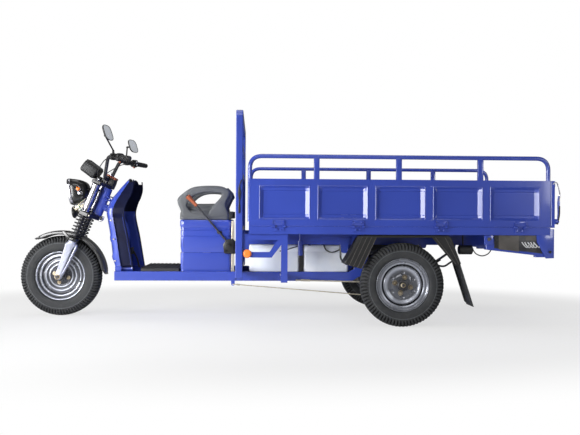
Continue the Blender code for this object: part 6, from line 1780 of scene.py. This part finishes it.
leaf = {"z": 0.324, "rise": 0.138, "reach": 0.34, "lengths": (0.34, 0.27, 0.2, 0.12), "thick": 0.0064, "pitch": 0.0068}
for side, name in sides:
    for end, where in ((-1, "front"), (1, "rear")):
        shapes = []
        for k, long in enumerate(leaf["lengths"]):
            t = np.linspace(0, long, 26)
            x, z = axle["x"] + end * t, leaf["z"] + leaf["rise"] * (t / leaf["reach"]) ** 2
            slope = np.arctan(2 * leaf["rise"] * t / leaf["reach"] ** 2)
            top = -leaf["pitch"] * k
            narrow = 0.0235 * np.where(t > long - 0.012, 0.8, 1.0) if k else np.full(26, 0.0235)
            corners = [(-1, 0), (-1, -1), (1, -1), (1, 0)]
            ring = [
                np.stack([
                    x - end * np.sin(slope) * (top + d * leaf["thick"]), -0.4 + s * narrow,
                    z + np.cos(slope) * (top + d * leaf["thick"]),
                ], 1)
                for s, d in corners
            ]
            shapes.append(grid(np.stack(ring, 1), False, True, True, True))
        eyeX = axle["x"] + end * leaf["reach"]
        eye = moved(
            ringShape([(0.0085, -0.0235), (0.015, -0.0235), (0.015, 0.0235), (0.0085, 0.0235)], 28),
            (eyeX, -0.4, leaf["z"] + leaf["rise"]), facing((0, 1, 0)),
        )
        half = piece(
            f"leaf_half_{where}_{name}", onSide([*shapes, eye], side), "steel", None, [f"leaf_spring_{name}"], 35
        )
        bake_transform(half)
    # a pad over the leaves with two U-bolts round the axle
    clamp = [softBox(
        (axle["x"] - 0.05, -0.43, leaf["z"] + 0.0002), (axle["x"] + 0.05, -0.37, leaf["z"] + 0.0085), 0.002
    )]
    for dx in (-0.036, 0.036):
        uLine = bent([
            (axle["x"] + dx, -0.429, leaf["z"] + 0.02), (axle["x"] + dx, -0.429, axle["z"] - 0.038),
            (axle["x"] + dx, -0.371, axle["z"] - 0.038), (axle["x"] + dx, -0.371, leaf["z"] + 0.02),
        ], 0.02)
        clamp.append(tube(uLine, 0.0045, 12))
        clamp += [hexHead((axle["x"] + dx, y, leaf["z"] + 0.0085), (0, 0, 1), 0.013, 0.008) for y in (-0.429, -0.371)]
    piece(f"spring_clamps_{name}", onSide(clamp, side), "steel", "rear_axle", soften=35)
print("rear axle made")

# Stage, light, camera
studio = {
    "floorFade": (1.7, 2.6), "floorLift": 0.65, "floorTone": 0.96, "ambient": 0.12,
    "lamps": [  # name, place, aim, width, height, share of full light at the aim, cone in degrees
        ("keyLamp", (-2.4, -3.1, 1), (-0.65, -0.4, 0.45), 1.2, 1.2, 1.25, 68),
        ("fillLamp", (0.2, -5.6, 3.6), (0, -0.5, 0.5), 3.0, 1.0, 0.12, 180),
        ("tailLamp", (3.2, -3.4, 1.3), (1.7, -0.6, 0.5), 1.0, 1.0, 0.22, 80),
        ("topLamp", (0.2, 0.4, 4.2), (0, 0, 0.4), 4.4, 3.0, 0.42, 180),
        ("stripLamp", (-6.4, -2.4, 1.3), (0.6, -0.6, 0.8), 3.4, 2.4, 0.55, 180),
    ],
}


def addLamp(name, place, aim, wide, tall, share, cone):
    # at full share a white surface facing the lamp from the aim renders white
    data = bpy.data.lights.new(name, "AREA")
    data.shape, data.size, data.size_y = "RECTANGLE", wide, tall
    away = Vector(aim) - Vector(place)
    data.energy = share * math.pi ** 2 * away.length_squared
    if cone < 180:
        half = math.radians(cone) / 2
        data.spread, data.energy = half * 2, data.energy * (1 - half / math.tan(half))
    lampObject = bpy.data.objects.new(name, data)
    lampObject.location = place
    lampObject.rotation_euler = away.to_track_quat("-Z", "Y").to_euler()
    bpy.context.scene.collection.objects.link(lampObject)


for settings in studio["lamps"]:
    addLamp(*settings)

world = bpy.data.worlds.new("studioWorld")
bpy.context.scene.world = world
world.use_nodes = True
background = world.node_tree.nodes["Background"]
rays = world.node_tree.nodes.new("ShaderNodeLightPath")
start = Wire(world.node_tree, rays.outputs["Is Camera Ray"])
seen = start.maths("MAXIMUM", start, Wire(world.node_tree, rays.outputs["Is Transmission Ray"]))
world.node_tree.links.new((seen * (1 - studio["ambient"]) + studio["ambient"]).socket, background.inputs["Strength"])
background.inputs["Color"].default_value = (1, 1, 1, 1)

floor = Finish("floorPaper", Roughness=0.95, Specular_IOR_Level=0.0)
tone = studio["floorTone"]
drift = floor.noise(3.0, 2.0).between(0.3, 0.7)
floor.feed("Base Color", floor.mix(drift, (tone,) * 3, (tone * 0.985,) * 3))
x, y = floor.axis(0), floor.axis(1)
away = ((x * 0.72) * (x * 0.72) + y * y) ** 0.5
cameraRay = floor.node("ShaderNodeLightPath")
blendShare = (away.between(*studio["floorFade"]) * (1 - studio["floorLift"]) + studio["floorLift"]) * cameraRay
white = floor.tree.nodes.new("ShaderNodeEmission")
mixer = floor.tree.nodes.new("ShaderNodeMixShader")
output = next(node for node in floor.tree.nodes if node.type == "OUTPUT_MATERIAL")
floor.tree.links.new(blendShare.socket, mixer.inputs[0])
floor.tree.links.new(floor.shader.outputs[0], mixer.inputs[1])
floor.tree.links.new(white.outputs[0], mixer.inputs[2])
floor.tree.links.new(mixer.outputs[0], output.inputs["Surface"])
floorMesh = bpy.data.meshes.new("studioFloor")
floorMesh.from_pydata([(-14, -9, 0), (14, -9, 0), (14, 19, 0), (-14, 19, 0)], [], [(0, 1, 2, 3)])
floorMesh.materials.append(floor.material)
studioFloor = bpy.data.objects.new("studioFloor", floorMesh)
bpy.context.scene.collection.objects.link(studioFloor)

view = {"place": (-0.14675, -5.21016, 0.67538), "yaw": 0.04587, "pitch": -0.00205, "roll": 0.0061, "lens": 47.43}
yaw, pitch, roll = view["yaw"], view["pitch"], view["roll"]
ahead = Vector((math.sin(yaw) * math.cos(pitch), math.cos(yaw) * math.cos(pitch), math.sin(pitch)))
level = Vector((math.cos(yaw), -math.sin(yaw), 0))
upward = level.cross(ahead)
right = math.cos(roll) * level + math.sin(roll) * upward
up = math.cos(roll) * upward - math.sin(roll) * level
cameraData = bpy.data.cameras.new("photoCamera")
cameraData.lens, cameraData.sensor_width = view["lens"], 36.0
camera = bpy.data.objects.new("photoCamera", cameraData)
camera.matrix_world = Matrix.Translation(view["place"]) @ Matrix((right, up, -ahead)).transposed().to_4x4()
bpy.context.scene.collection.objects.link(camera)
bpy.context.scene.camera = camera
bpy.context.scene.view_settings.view_transform = "Standard"
print("stage made")
